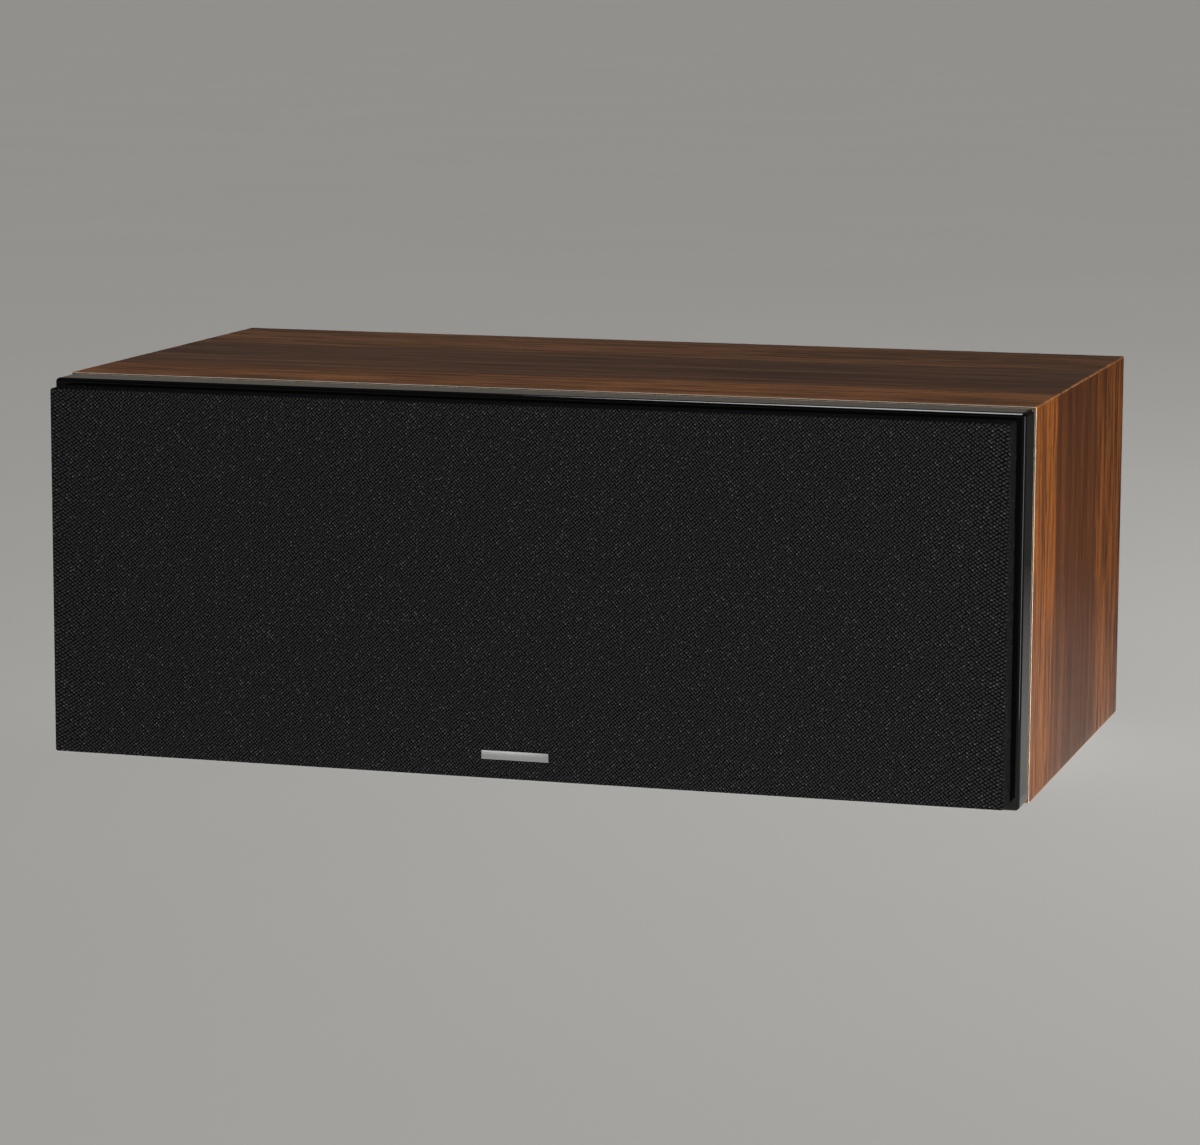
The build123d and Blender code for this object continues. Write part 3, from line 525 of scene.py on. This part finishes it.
# Screws: black-oxide pan heads with a cross recess, twelve through the drivers' flanges into the baffle and
# four smaller ones through the cup's flange. A tree sets a screw on each point, all heads facing one way.
def screw_tree(material, facing, radius, height, shank_radius, shank_length):
    rim_share, rim_taper, crown_share, crown_foot, crown_top = 0.55, 0.97, 0.5, 0.96, 0.72
    slot_width, slot_length, slot_share, tip_share = 0.28, 1.15, 0.7, 0.55
    head_sides, shank_sides = 32, 16
    tree = bpy.data.node_groups.new("Pan-head screws", "GeometryNodeTree")
    add = partial(add_node, tree)
    tree.interface.new_socket("Places", in_out="INPUT", socket_type="NodeSocketGeometry")
    tree.interface.new_socket("Screws", in_out="OUTPUT", socket_type="NodeSocketGeometry")
    places = add("NodeGroupInput", out="Places")
    rim = add("GeometryNodeMeshCone", {
        "Vertices": head_sides, "Radius Top": rim_taper * radius, "Radius Bottom": radius,
        "Depth": rim_share * height}, out="Mesh")
    crown = add("GeometryNodeMeshCone", {
        "Vertices": head_sides, "Radius Top": crown_top * radius, "Radius Bottom": crown_foot * radius,
        "Depth": crown_share * height}, out="Mesh")
    raised = add("GeometryNodeTransform", {
        "Geometry": crown, "Translation": (0.0, 0.0, (1 - crown_share) * height)})
    head = add("GeometryNodeMeshBoolean", {"Mesh 2": [raised, rim]}, operation="UNION", out="Mesh")
    bars = []
    for width, length in ((slot_width, slot_length), (slot_length, slot_width)):
        bar = add("GeometryNodeMeshCube", {
            "Size": (width * radius, length * radius, slot_share * height)}, out="Mesh")
        bars.append(add("GeometryNodeTransform", {"Geometry": bar, "Translation": (0.0, 0.0, height)}))
    cross = add("GeometryNodeMeshBoolean", {"Mesh 2": bars}, operation="UNION", out="Mesh")
    cut = add("GeometryNodeMeshBoolean", {
        "Mesh 1": head, "Mesh 2": cross}, operation="DIFFERENCE", out="Mesh")
    shank = add("GeometryNodeMeshCone", {
        "Vertices": shank_sides, "Radius Top": shank_radius, "Radius Bottom": tip_share * shank_radius,
        "Depth": shank_length}, out="Mesh")
    below = add("GeometryNodeTransform", {"Geometry": shank, "Translation": (0.0, 0.0, -shank_length)})
    screw = add("GeometryNodeJoinGeometry", {0: [below, cut]})
    turn = add("FunctionNodeAlignRotationToVector", {"Vector": facing}, axis="Z")
    seated = add("GeometryNodeInstanceOnPoints", {"Points": places, "Instance": screw, "Rotation": turn})
    real = add("GeometryNodeRealizeInstances", {"Geometry": seated})
    dressed = add("GeometryNodeSetMaterial", {"Geometry": real, "Material": material})
    fill(tree.nodes.new("NodeGroupOutput"), {"Screws": dressed})
    return tree


# Black-oxide steel: dark and oily, with scuffed lighter flecks.
black_oxide = grained("Steel, black oxide", ("#101012", "#2a2a2c"), 0.0007, (0.3, 0.5), 0.000008,
                      {"Metallic": 0.7})


def screw_set(name, node, places, facing, **sizes):
    """Screws at places on one face, made into a plain mesh that stands for a CAD node."""
    mesh = bpy.data.meshes.new(name)
    mesh.from_pydata(places, [], [])
    piece = add_piece(name, mesh)
    settle(piece, "NODES", node_group=screw_tree(black_oxide, facing, **sizes))
    smooth(piece.data, sharp_angle=25)
    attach(piece, "cabinet")
    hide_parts(node)


def centre_of(node):
    low, high = (Vector(corner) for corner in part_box(node))
    return (low + high) / 2


screw_inset, head_height, head_sink = 0.0046, 0.0024, 0.0002
baffle_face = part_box("front_baffle")[0][1]
driver_spots = []
for flange in ("left_woofer_basket", "tweeter_faceplate", "right_woofer_basket"):
    low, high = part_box(flange)
    middle = centre_of(flange)
    reach = (high[0] - low[0]) / 2 - screw_inset
    for quarter in range(4):
        angle = math.radians(45 + 90 * quarter)
        driver_spots.append((middle.x + reach * math.cos(angle), baffle_face + head_sink + head_height,
                             middle.z + reach * math.sin(angle)))
screw_set("driver_pan_screws", "driver_screws", driver_spots, (0.0, -1.0, 0.0),
          radius=0.0035, height=head_height, shank_radius=0.0019, shank_length=0.019)

cup_low, cup_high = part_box("terminal_screws")
cup_head, cup_head_height = 0.0026, 0.0016
cup_spots = [(x, cup_high[1] - cup_head_height, z) for x in (cup_low[0] + cup_head, cup_high[0] - cup_head)
             for z in (cup_low[2] + cup_head, cup_high[2] - cup_head)]
screw_set("terminal_pan_screws", "terminal_screws", cup_spots, (0.0, 1.0, 0.0),
          radius=cup_head, height=cup_head_height, shank_radius=0.0014, shank_length=0.0104)


# Crossover: two copper coils, three film capacitors and a cement resistor on a laminate board, which
# stands on nylon spacers on the cabinet's floor.

def coursed(add, shader, place, row, brick, gap, colours, height):
    """Finishes a shader with bricks in rows: their height and width and the gap between them in metres, the
    colours of two bricks and of the gap, and how far the bricks stand out of it."""
    first, second, between = (linear(code) for code in colours)
    laid = add("ShaderNodeTexBrick", {
        "Vector": place, "Scale": 1.0, "Mortar Size": gap, "Brick Width": brick, "Row Height": row,
        "Color1": first, "Color2": second, "Mortar": between}).node.outputs
    normal = add("ShaderNodeBump", {"Height": laid["Fac"], "Distance": height}, invert=True)
    fill(shader, {"Base Color": laid["Color"], "Normal": normal})


# Glass-epoxy laminate: green solder mask over copper tracks, which lie as raised bars, with a satin gloss.
def laminate():
    track, track_gap, track_height = 0.005, 0.0008, 0.00004
    material, add, shader = new_material("Glass-epoxy laminate, solder mask", {"Roughness": 0.35})
    spot = add("ShaderNodeTexCoord", out="Object")
    coursed(add, shader, spot, track, 4 * track, track_gap, ("#1f4a24", "#24552a", "#173a1c"), track_height)
    return material


# Enamelled copper wire, wound in even turns: fine round ridges along the coil's axis, orange-brown, glossy.
def wound_copper(name, axis, wire):
    material, add, shader = new_material(name, {"Metallic": 0.85, "Roughness": 0.3, "Coat Weight": 0.5})
    spot = add("ShaderNodeTexCoord", out="Object")
    place = add("ShaderNodeSeparateXYZ", {0: spot}, out=axis)
    phase = add("ShaderNodeMath", {0: place, 1: math.pi / wire}, operation="MULTIPLY")
    wave = add("ShaderNodeMath", {0: phase}, operation="SINE")
    turns = add("ShaderNodeMath", {0: wave}, operation="ABSOLUTE")
    two_tone(add, shader, turns, ("#4a1f0c", "#b5622d"), None, wire / 4)
    return material


dress(laminate(), "crossover_board")
dress(wound_copper("Enamelled copper, air coil", "Z", wire=0.001), "crossover_inductors")
dress(grained("Polyester film sleeve, shrunk", ("#a8791b", "#c49327"), 0.003, (0.2, 0.32), 0.00003,
              {"Coat Weight": 0.3}), "crossover_capacitors")
dress(grained("Cement, cast", ("#b5b2a8", "#d2cfc5"), 0.0012, (0.8, 0.95), 0.00006), "crossover_resistor")
dress(grained("Nylon, moulded", ("#cfcab8", "#dedac9"), 0.002, (0.4, 0.5), 0.00001,
              {"Subsurface Weight": 0.1, "Subsurface Scale": 0.001}), "crossover_standoffs")


# Tweeter: a moulded plate with a shallow horn round a soft dome, which is a thin cap of coated silk. Behind
# it a ferrite ring is clamped between two plated steel plates.

def weave(add, place, spacing):
    """Threads along X and Z that pass over and under each other, as a height from -1 to 1."""
    axes = add("ShaderNodeSeparateXYZ", {0: place}).node.outputs
    waves = []
    for axis in ("X", "Z"):
        phase = add("ShaderNodeMath", {0: axes[axis], 1: math.pi / spacing}, operation="MULTIPLY")
        waves.append(add("ShaderNodeMath", {0: phase}, operation="SINE"))
    return add("ShaderNodeMath", {0: waves[0], 1: waves[1]}, operation="MULTIPLY")


# Coated silk: a fine weave under a tacky dark coat, with a broad soft highlight.
def coated_silk():
    thread, thread_height = 0.0004, 0.00002
    material, add, shader = new_material("Silk, coated black", {"Sheen Weight": 0.2})
    spot = add("ShaderNodeTexCoord", out="Object")
    threads = weave(add, spot, thread)
    share = add("ShaderNodeMapRange", {"Value": threads, "From Min": -1.0})
    two_tone(add, shader, share, ("#161617", "#232325"), (0.3, 0.45), thread_height)
    return material


# Zinc-plated steel: bluish bright, with a cloudy passivation. Ferrite: a ground grey ceramic. Foam: dull and
# black, with closed cells.
zinc_steel = grained("Steel, zinc plated", ("#9a9c9e", "#c4c6c9"), 0.004, (0.25, 0.42), 0.000006,
                     {"Metallic": 1.0})
ferrite = grained("Ferrite, ground", ("#232325", "#343437"), 0.0009, (0.55, 0.75), 0.00003)
foam = grained("Polyethylene foam, closed cell", ("#161616", "#262626"), 0.0008, (0.85, 0.98), 0.00012)
voice_coil = wound_copper("Enamelled copper, voice coil", "Y", wire=0.0004)


def dress_motor(driver):
    """Finishes what every driver has: a gasket, a voice coil and a ferrite motor."""
    dress(foam, f"{driver}_gasket")
    dress(voice_coil, f"{driver}_voice_coil")
    dress(zinc_steel, f"{driver}_top_plate", f"{driver}_yoke")
    dress(ferrite, f"{driver}_magnet")


dress(moulded_abs, "tweeter_faceplate")
dress(coated_silk(), "tweeter_dome")
dress_motor("tweeter")


# Woofers: each has a die-cast basket, a woven cone with a dust cap, a rubber roll that lets the cone travel,
# a cloth spider, a voice coil and a ferrite motor. The roll is made in two halves: the outer one goes with
# the cabinet, and the inner one, on the cone's edge, is attached to no body.

# Woven glass fibre: dark and light tows that pass over and under each other, under a clear glossy resin.
def woven_glass():
    tow, tow_height, tow_turn = 0.0024, 0.00015, math.radians(45)
    material, add, shader = new_material("Glass-fibre weave, resin coated", {
        "Coat Weight": 0.6, "Coat Roughness": 0.12, "Roughness": 0.38})
    spot = add("ShaderNodeTexCoord", out="Object")
    turned = add("ShaderNodeMapping", {"Vector": spot, "Rotation": (0.0, tow_turn, 0.0)})
    crossing = weave(add, turned, tow)
    over = add("ShaderNodeMapRange", {"Value": crossing, "From Min": -0.35, "From Max": 0.35})
    height = add("ShaderNodeMath", {0: crossing}, operation="ABSOLUTE")
    two_tone(add, shader, over, ("#242528", "#525359"), None, tow_height, bumps=height)
    return material


# Resin-dipped cotton: a coarse amber weave, stiff and slightly shiny.
def dipped_cotton():
    thread, thread_height = 0.0008, 0.0001
    material, add, shader = new_material("Cotton, resin dipped", {"Roughness": 0.7, "Sheen Weight": 0.2})
    spot = add("ShaderNodeTexCoord", out="Object")
    place = add("ShaderNodeMapping", {"Vector": spot, "Rotation": (math.pi / 2, 0.0, 0.0)})
    coursed(add, shader, place, thread, 2 * thread, thread / 5, ("#a8762c", "#946524", "#5e3d12"),
            thread_height)
    return material


# Powder coat on cast aluminium: black, with a fine even texture.
powder_coat = grained("Aluminium, die cast and powder coated", ("#111112", "#1d1d1e"), 0.0009, (0.45, 0.62),
                      0.00005, {"Specular IOR Level": 0.45})
cone_weave, spider_cloth = woven_glass(), dipped_cotton()


def lathe(name, axis, profile, around=96):
    """A closed ring turned about a line along Y from (radius, depth) points."""
    angles = [2 * math.pi * i / around for i in range(around)]
    rows = [[(axis.x + r * math.cos(a), y, axis.z + r * math.sin(a)) for a in angles] for r, y in profile]
    girth = [i * 2 * math.pi * profile[0][0] / around for i in range(around + 1)]
    walk = running_length([Vector(point) for point in profile], closed=True)
    return skin(name, rows, girth, walk, tube=True)


def surround_halves(side):
    """The roll's outer half with its glued lip, and its inner half with the lip on the cone."""
    thickness, root_depth, lip, arc_steps = 0.001, 0.0012, 0.001, 10
    low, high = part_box(f"{side}_woofer_surround")
    lip_edge = (high[0] - low[0]) / 2
    roll_outer, roll_inner, cone_edge = 0.060, 0.048, 0.0445
    crown, half = (roll_outer + roll_inner) / 2, (roll_outer - roll_inner) / 2
    root = baffle_face + root_depth
    seat = root + lip
    axis = centre_of(f"{side}_woofer_surround")

    def quarter(radius, sign):
        turns = [math.pi / 2 * i / arc_steps for i in range(arc_steps + 1)]
        return [(crown + sign * radius * math.cos(t), root - radius * math.sin(t)) for t in turns]

    halves = []
    for part, edge, sign in (("outer", lip_edge, 1), ("inner", cone_edge, -1)):
        name = f"{side}_surround_{part}"
        ring = [(edge, seat), (edge, root), *quarter(half, sign), *reversed(quarter(half - thickness, sign)),
                (crown + sign * (half - thickness), seat)]
        halves.append(add_piece(name, lathe(name, axis, ring), rubber))
    return *halves, root - half, root


for side in ("left", "right"):
    outer_half, inner_half, crest, root = surround_halves(side)
    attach(outer_half, "cabinet")
    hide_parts(f"{side}_woofer_surround")
    middle = centre_of(f"{side}_woofer_surround")
    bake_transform(inner_half)
    woofer = f"{side}_woofer"
    dress(powder_coat, f"{woofer}_basket")
    dress(cone_weave, f"{woofer}_cone", f"{woofer}_dust_cap")
    dress(spider_cloth, f"{woofer}_spider")
    dress_motor(woofer)


# Grille: a stained fibreboard frame with three windows, six plastic pegs pressed into its back and six rubber
# sockets in the baffle that grip them.
dress(black_stain_and_shade, "grille_frame")
dress(moulded_abs, "grille_pegs")
dress(rubber, "peg_sockets")


# Grille cloth: black polyester knit, stretched over the frame, folded round its edges and glued behind. It is
# cut out round the pegs.
cloth_low, cloth_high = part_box("grille_cloth")
cloth_thickness = 0.0005
cloth_corner, cloth_edge, cloth_fold = 0.0012, 0.0007, 0.0090
edge_steps = 6


# Polyester knit: rows of stitches that lean over and run as fine slanting lines, bowed near the edges by the
# stretching. Each is a dark loop, and here and there one carries a painted highlight, a pinpoint glint.
def polyester_knit():
    line_spacing, stitch_spacing, lean = 0.00128, 0.00136, math.radians(41)
    pull, pull_reach, bow, bow_size = 0.010, 0.022, 0.0016, 0.09
    loop_reach, loop_share, loop_height = (0.50, 0.10), 0.38, 0.0002
    glint_reach, glint_share, glint_rarity = (0.42, 0.05), 0.9, 13.0
    material, add, shader = new_material("Polyester knit, black", {"Specular IOR Level": 0.15})
    uv = add("ShaderNodeUVMap", uv_map="cut", out="UV")
    across = add("ShaderNodeSeparateXYZ", {0: uv}, out="X")
    half_width = (cloth_high[0] - cloth_low[0]) / 2
    edges = []
    for side in (-1.0, 1.0):
        inward = add("ShaderNodeMath", {
            0: across, 1: side / pull_reach, 2: -half_width / pull_reach}, operation="MULTIPLY_ADD")
        strain = add("ShaderNodeMath", {0: inward}, operation="EXPONENT")
        edges.append(add("ShaderNodeMath", {0: strain, 1: -side * pull}, operation="MULTIPLY"))
    pulled = add("ShaderNodeMath", {0: edges[0], 1: edges[1]}, operation="ADD")
    drift = add("ShaderNodeTexNoise", {"Vector": uv, "Scale": 1 / bow_size, "Detail": 1.0}, out="Color")
    bowed = add("ShaderNodeVectorMath", {0: drift, "Scale": bow}, operation="SCALE")
    shift = add("ShaderNodeCombineXYZ", {"X": pulled})
    eased = add("ShaderNodeVectorMath", {0: uv, 1: shift}, operation="ADD")
    cloth_place = add("ShaderNodeVectorMath", {0: eased, 1: bowed}, operation="ADD")
    leaning = add("ShaderNodeVectorRotate", {"Vector": cloth_place, "Angle": -lean}, rotation_type="Z_AXIS")
    rows = add("ShaderNodeMapping", {
        "Vector": leaning, "Scale": (1 / line_spacing, 1 / stitch_spacing, 1.0)})
    loops = add("ShaderNodeTexVoronoi", {
        "Vector": rows, "Scale": 1.0, "Randomness": 0.22}, voronoi_dimensions="2D").node.outputs
    loop, point = (add("ShaderNodeMapRange", {"Value": loops["Distance"], "From Min": far, "From Max": near},
                       interpolation_type="SMOOTHSTEP") for far, near in (loop_reach, glint_reach))
    # Glints: rare stitches painted brighter in the base colour, as painted highlights.
    bright = add("ShaderNodeMath", {0: point, 1: glint_share}, operation="MULTIPLY")
    chance = add("ShaderNodeSeparateColor", {0: loops["Color"]})
    rare = add("ShaderNodeMath", {0: chance, 1: glint_rarity}, operation="POWER")
    painted_glint = add("ShaderNodeMath", {0: bright, 1: rare}, operation="MULTIPLY")
    lit = add("ShaderNodeMath", {0: loop, 1: loop_share, 2: painted_glint}, operation="MULTIPLY_ADD")
    colour = add("ShaderNodeMix", {
        0: lit, 6: linear("#121213"), 7: linear("#84848a")}, data_type="RGBA", out=2)
    rough = add("ShaderNodeMapRange", {"Value": loop, "To Min": 0.95, "To Max": 0.7})
    normal = add("ShaderNodeBump", {"Height": loop, "Strength": 0.5, "Distance": loop_height})
    fill(shader, {"Base Color": colour, "Roughness": rough, "Normal": normal})
    return material


def stretched_cloth():
    least_corner, back_edge = 0.0004, cloth_edge / 3
    half_width, half_height = (cloth_high[0] - cloth_low[0]) / 2, (cloth_high[2] - cloth_low[2]) / 2
    middle = (cloth_high[2] + cloth_low[2]) / 2
    front, back = cloth_low[1], cloth_high[1]
    turns = [math.pi / 2 * i / edge_steps for i in range(edge_steps + 1)]
    section = [(cloth_edge * (1 - math.sin(t)), front + cloth_edge * (1 - math.cos(t))) for t in turns]
    section += [(0.0, back - back_edge), (back_edge, back), (cloth_fold, back)]
    walk = running_length([Vector(point) for point in section], closed=False)
    shell = bmesh.new()
    uv = shell.loops.layers.uv.new("cut")
    flat_x, flat_z = half_width - cloth_edge, half_height - cloth_edge
    start = rounded_loop(flat_x, flat_z, max(cloth_corner - cloth_edge, least_corner))
    rows, flats = [], []
    for (inset, y), length in zip(section, walk):
        loop = rounded_loop(half_width - inset, half_height - inset, max(cloth_corner - inset, least_corner))
        rows.append([shell.verts.new((x, y, middle + z)) for x, z in loop])
        flats.append([(x * (flat_x + length) / flat_x, z * (flat_z + length) / flat_z) for x, z in start])
    count = len(start)
    for r in range(len(rows) - 1):
        for c in range(count):
            corners = ((r, c), (r + 1, c), (r + 1, (c + 1) % count), (r, (c + 1) % count))
            face = shell.faces.new([rows[i][k] for i, k in corners])
            for loop, (i, k) in zip(face.loops, corners):
                loop[uv].uv = flats[i][k]
    front_face = shell.faces.new(list(rows[0]))
    for loop, flat in zip(front_face.loops, flats[0]):
        loop[uv].uv = flat
    bmesh.ops.recalc_face_normals(shell, faces=shell.faces)
    if front_face.normal.y > 0:
        bmesh.ops.reverse_faces(shell, faces=shell.faces)
    return mesh_from(shell, "stretched_cloth"), 2 * (flat_x + walk[-1]), 2 * (flat_z + walk[-1])


cloth_mesh, cut_width, cut_height = stretched_cloth()
cloth = add_piece("stretched_cloth", cloth_mesh, polyester_knit())
settle(cloth, "SOLIDIFY", thickness=cloth_thickness, offset=-1.0)
peg_radius, peg_fit = 0.0037, 0.0001
peg_low, peg_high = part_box("grille_pegs")
peg_spots = [(x, cloth_high[1] - cloth_thickness / 2, z)
             for x in (peg_low[0] + peg_radius, 0.0, peg_high[0] - peg_radius)
             for z in (peg_low[2] + peg_radius, peg_high[2] - peg_radius)]
bore(cloth, peg_spots, peg_radius + peg_fit, 4 * cloth_thickness, Matrix.Rotation(math.pi / 2, 4, "X"))
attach(cloth, "grille")
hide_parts("grille_cloth")


# Nameplate: a small bar of aluminium, brushed along its length, its edges bevelled, pinned through the cloth
# at the foot of the grille. It is blank.
def nameplate():
    width, height, thickness, bevel = 0.034, 0.0045, 0.0010, 0.0002
    shift, sunk, rise = 0.0006, 0.0005, 0.0187
    centre = Matrix.Translation((shift, cloth_low[1] - thickness / 2 + sunk, rise))
    bar = bmesh.new()
    bmesh.ops.create_cube(bar, size=1.0, matrix=centre @ Matrix.Diagonal((width, thickness, height, 1.0)))
    bmesh.ops.bevel(bar, geom=list(bar.edges), offset=bevel, segments=3, affect="EDGES", profile=0.5)
    return mesh_from(bar, "nameplate")


# Brushed aluminium: pale, with long fine scratches that spread the highlight along the bar.
def brushed_aluminium():
    scratch_length, scratch_width, scratch_depth = 0.012, 0.00012, 0.000004
    material, add, shader = new_material("Aluminium, brushed", {"Metallic": 1.0})
    spot = add("ShaderNodeTexCoord", out="Object")
    drawn = add("ShaderNodeMapping", {
        "Vector": spot, "Scale": (1 / scratch_length, 1 / scratch_width, 1 / scratch_width)})
    scratch = add("ShaderNodeTexNoise", {"Vector": drawn, "Scale": 1.0, "Detail": 2.0}, out="Fac")
    two_tone(add, shader, scratch, ("#b9babb", "#eceded"), (0.25, 0.45), scratch_depth)
    return material


plate = add_piece("nameplate", nameplate(), brushed_aluminium())
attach(plate, "grille")


# Studio: a wide pale floor that runs out to the horizon under an even overhead glow, soft boxes for the
# speaker alone, and a camera at the photograph's place.
def studio_floor():
    reach, around = 80.0, 64
    disc = bmesh.new()
    bmesh.ops.create_circle(disc, cap_ends=True, segments=around, radius=reach)
    return mesh_from(disc, "studio_floor")


# Matt studio paint: an even warm grey with the faintest mottle.
studio_paint = grained("Emulsion paint, matt", ("#e4e2de", "#e6e4e0"), 0.4, (0.9, 0.95), 0.0,
                       {"Specular IOR Level": 0.1})
floor = add_piece("studio_floor", studio_floor(), studio_paint)

# The sky: as bright as the floor at the horizon and dark above it, as black studio walls would be.
sky_stops = ((0.00, "#9f9e9b"), (0.06, "#807b73"), (0.15, "#55514a"), (0.24, "#24221f"), (1.00, "#1c1c1c"))
world = bpy.data.worlds.new("Studio")
world.use_nodes = True
add_sky = partial(add_node, world.node_tree)
direction = add_sky("ShaderNodeTexCoord", out="Generated")
height = add_sky("ShaderNodeSeparateXYZ", {0: direction}, out="Z")
sky_ramp = add_sky("ShaderNodeValToRGB", {"Fac": height})
set_ramp(sky_ramp, sky_stops)
fill(world.node_tree.nodes["Background"], {"Color": sky_ramp, "Strength": 1.0})
bpy.context.scene.world = world
bpy.context.scene.view_settings.view_transform = "Standard"


# Flags: black cards that only the gloss of the lacquer and the foil sees, as a dark studio would show in it.
# Each fades in away from the speaker.
def flag(name, low, high, fade, least, most):
    card = bmesh.new()
    left, front, foot = low
    right, back, head = high
    corners = ((left, front, foot), (right, front, foot), (right, back, head), (left, back, head))
    card.faces.new([card.verts.new(corner) for corner in corners])
    felt = {"Base Color": linear("#020202"), "Roughness": 1.0}
    material, add, shader = new_material(f"Black felt, {name}", felt)
    spot = add("ShaderNodeTexCoord", out="Object")
    depth = add("ShaderNodeSeparateXYZ", {0: spot}, out="Y")
    cover = add("ShaderNodeMapRange", {
        "Value": depth, "From Min": fade[0], "From Max": fade[1], "To Min": least, "To Max": most})
    fill(shader, {"Alpha": cover})
    piece = add_piece(name, mesh_from(card, name), material)
    for ray in ("camera", "diffuse", "transmission", "volume_scatter", "shadow"):
        setattr(piece, f"visible_{ray}", False)
    return piece


flags = (flag("right_flag", (0.25, -0.14, 0.003), (6.0, 8.0, 0.003), (0.1, 0.65), 0.25, 0.88),
         flag("back_flag", (0.6, 4.0, 0.0), (6.0, 4.0, 2.0), (0.1, 0.65), 0.25, 0.88),
         flag("side_flag", (0.45, -0.14, 0.004), (6.0, 0.35, 0.004), (-0.14, 0.35), 0.9, 0.9),
         flag("front_flag", (-6.0, -8.0, 0.003), (2.0, -0.15, 0.003), (-0.16, -0.4), 0.0, 0.72))


def lit_group(name, pieces):
    """A collection of the pieces that a lamp may light."""
    group = bpy.data.collections.new(name)
    for piece in pieces:
        group.objects.link(piece)
    return group


def hang(name, kind, place, aim, power, lit, tint="#ffffff", mirrored=False):
    """A lamp that lights the pieces of one collection. Only a mirrored one is also met by bounced rays, which
    would carry light out through the sleeve."""
    light = bpy.data.lights.new(name, kind)
    light.cycles.use_multiple_importance_sampling = mirrored
    light.energy = power
    light.color = linear(tint)[:3]
    lamp = bpy.data.objects.new(name, light)
    lamp.location = place
    lamp.rotation_euler = (Vector(aim) - Vector(place)).to_track_quat("-Z", "Y").to_euler()
    lamp.visible_camera = False
    lamp.light_linking.receiver_collection = lit
    bpy.context.collection.objects.link(lamp)
    return lamp


def soft_box(name, place, aim, size, power, lit, **more):
    """A rectangular lamp, size metres wide and high."""
    box = hang(name, "AREA", place, aim, power, lit, **more)
    box.data.shape = "RECTANGLE"
    box.data.size, box.data.size_y = size
    return box


# Lamps: soft boxes that light the speaker, or one piece of it, and two lamps that light the floor alone.
black_slab = nodes["front_baffle"]
pieces = [piece for piece in bpy.context.scene.objects
          if piece.type == "MESH" and piece not in (floor, *flags)]
body = lit_group("Body", [piece for piece in pieces if piece not in (black_slab, cloth, plate)])
face = lit_group("Face", [cloth, *body.objects])
slab = lit_group("Slab", [black_slab])
badge = lit_group("Badge", [plate])
ground = lit_group("Ground", [floor])
drivers = lit_group("Drivers", [piece for piece in pieces
                                if any(word in piece.name for word in ("woofer", "tweeter", "surround"))])
warm = "#fff2e0"
soft_box("Right box", (1.00, -0.42, 0.15), (0.245, 0.0, 0.06), (0.75, 0.40), 4.4, body, tint=warm)
soft_box("Low strip", (0.50, 0.02, 0.035), (0.245, 0.02, 0.04), (0.50, 0.06), 0.85, body, tint=warm)
soft_box("Top box", (0.0, 0.3, 1.6), (0.0, 0.05, 0.19), (1.6, 1.0), 9.2, body)
soft_box("Back box", (1.5, 1.7, 1.1), (0.0, 0.1, 0.1), (2.2, 1.6), 10.5, body)
soft_box("Left box", (-1.6, 0.2, 1.1), (-0.2, 0.0, 0.1), (2.2, 1.6), 10.5, body)
soft_box("Front box", (0.9, -1.9, 0.9), (0.0, -0.14, 0.1), (1.8, 1.4), 10.2, face)
soft_box("Driver box", (-0.7, -1.6, 0.9), (0.0, -0.12, 0.1), (0.9, 0.6), 7.0, drivers)
soft_box("Badge box", (-0.4, -1.2, 0.1), (0.0, -0.14, 0.02), (0.8, 0.6), 2.0, badge, mirrored=True)
soft_box("Lip box", (0.02, -0.20, 1.10), (0.15, -0.13, 0.19), (0.75, 0.30), 6.5, slab, mirrored=True)
soft_box("Edge box", (0.47, -0.24, 0.12), (0.245, -0.127, 0.12), (0.06, 0.30), 0.24, slab, mirrored=True)
even_light = hang("Floor light", "SUN", (0.0, 0.0, 3.0), (0.0, 0.0, 0.0), 1.12, ground)
corner_light = soft_box("Floor box", (1.3, 0.3, 1.3), (1.3, 0.3, 0.0), (1.2, 1.2), 8.5, ground)
for lamp in (even_light, corner_light):
    lamp.light_linking.blocker_collection = ground

# Camera: the photograph's place and lens, as its vanishing lines give them.
azimuth, elevation, roll = math.radians(16.353), math.radians(8.716), math.radians(0.247)
distance, focal_pixels, photo_width = 2.1579, 4204.5, 1200
aim_point = Vector((0.0005, 0.0, 0.0873))
back_to_camera = Vector((math.sin(azimuth) * math.cos(elevation), -math.cos(azimuth) * math.cos(elevation),
                         math.sin(elevation)))
camera_data = bpy.data.cameras.new("Camera")
camera_data.sensor_fit = "HORIZONTAL"
camera_data.sensor_width = 36.0
camera_data.clip_end = 200.0
camera_data.lens = focal_pixels / photo_width * camera_data.sensor_width
camera = bpy.data.objects.new("Camera", camera_data)
level = back_to_camera.to_track_quat("Z", "Y").to_matrix()
camera.matrix_world = Matrix.Translation(aim_point + distance * back_to_camera) @ (
    level @ Matrix.Rotation(roll, 3, "Z")).to_4x4()
bpy.context.collection.objects.link(camera)
bpy.context.scene.camera = camera
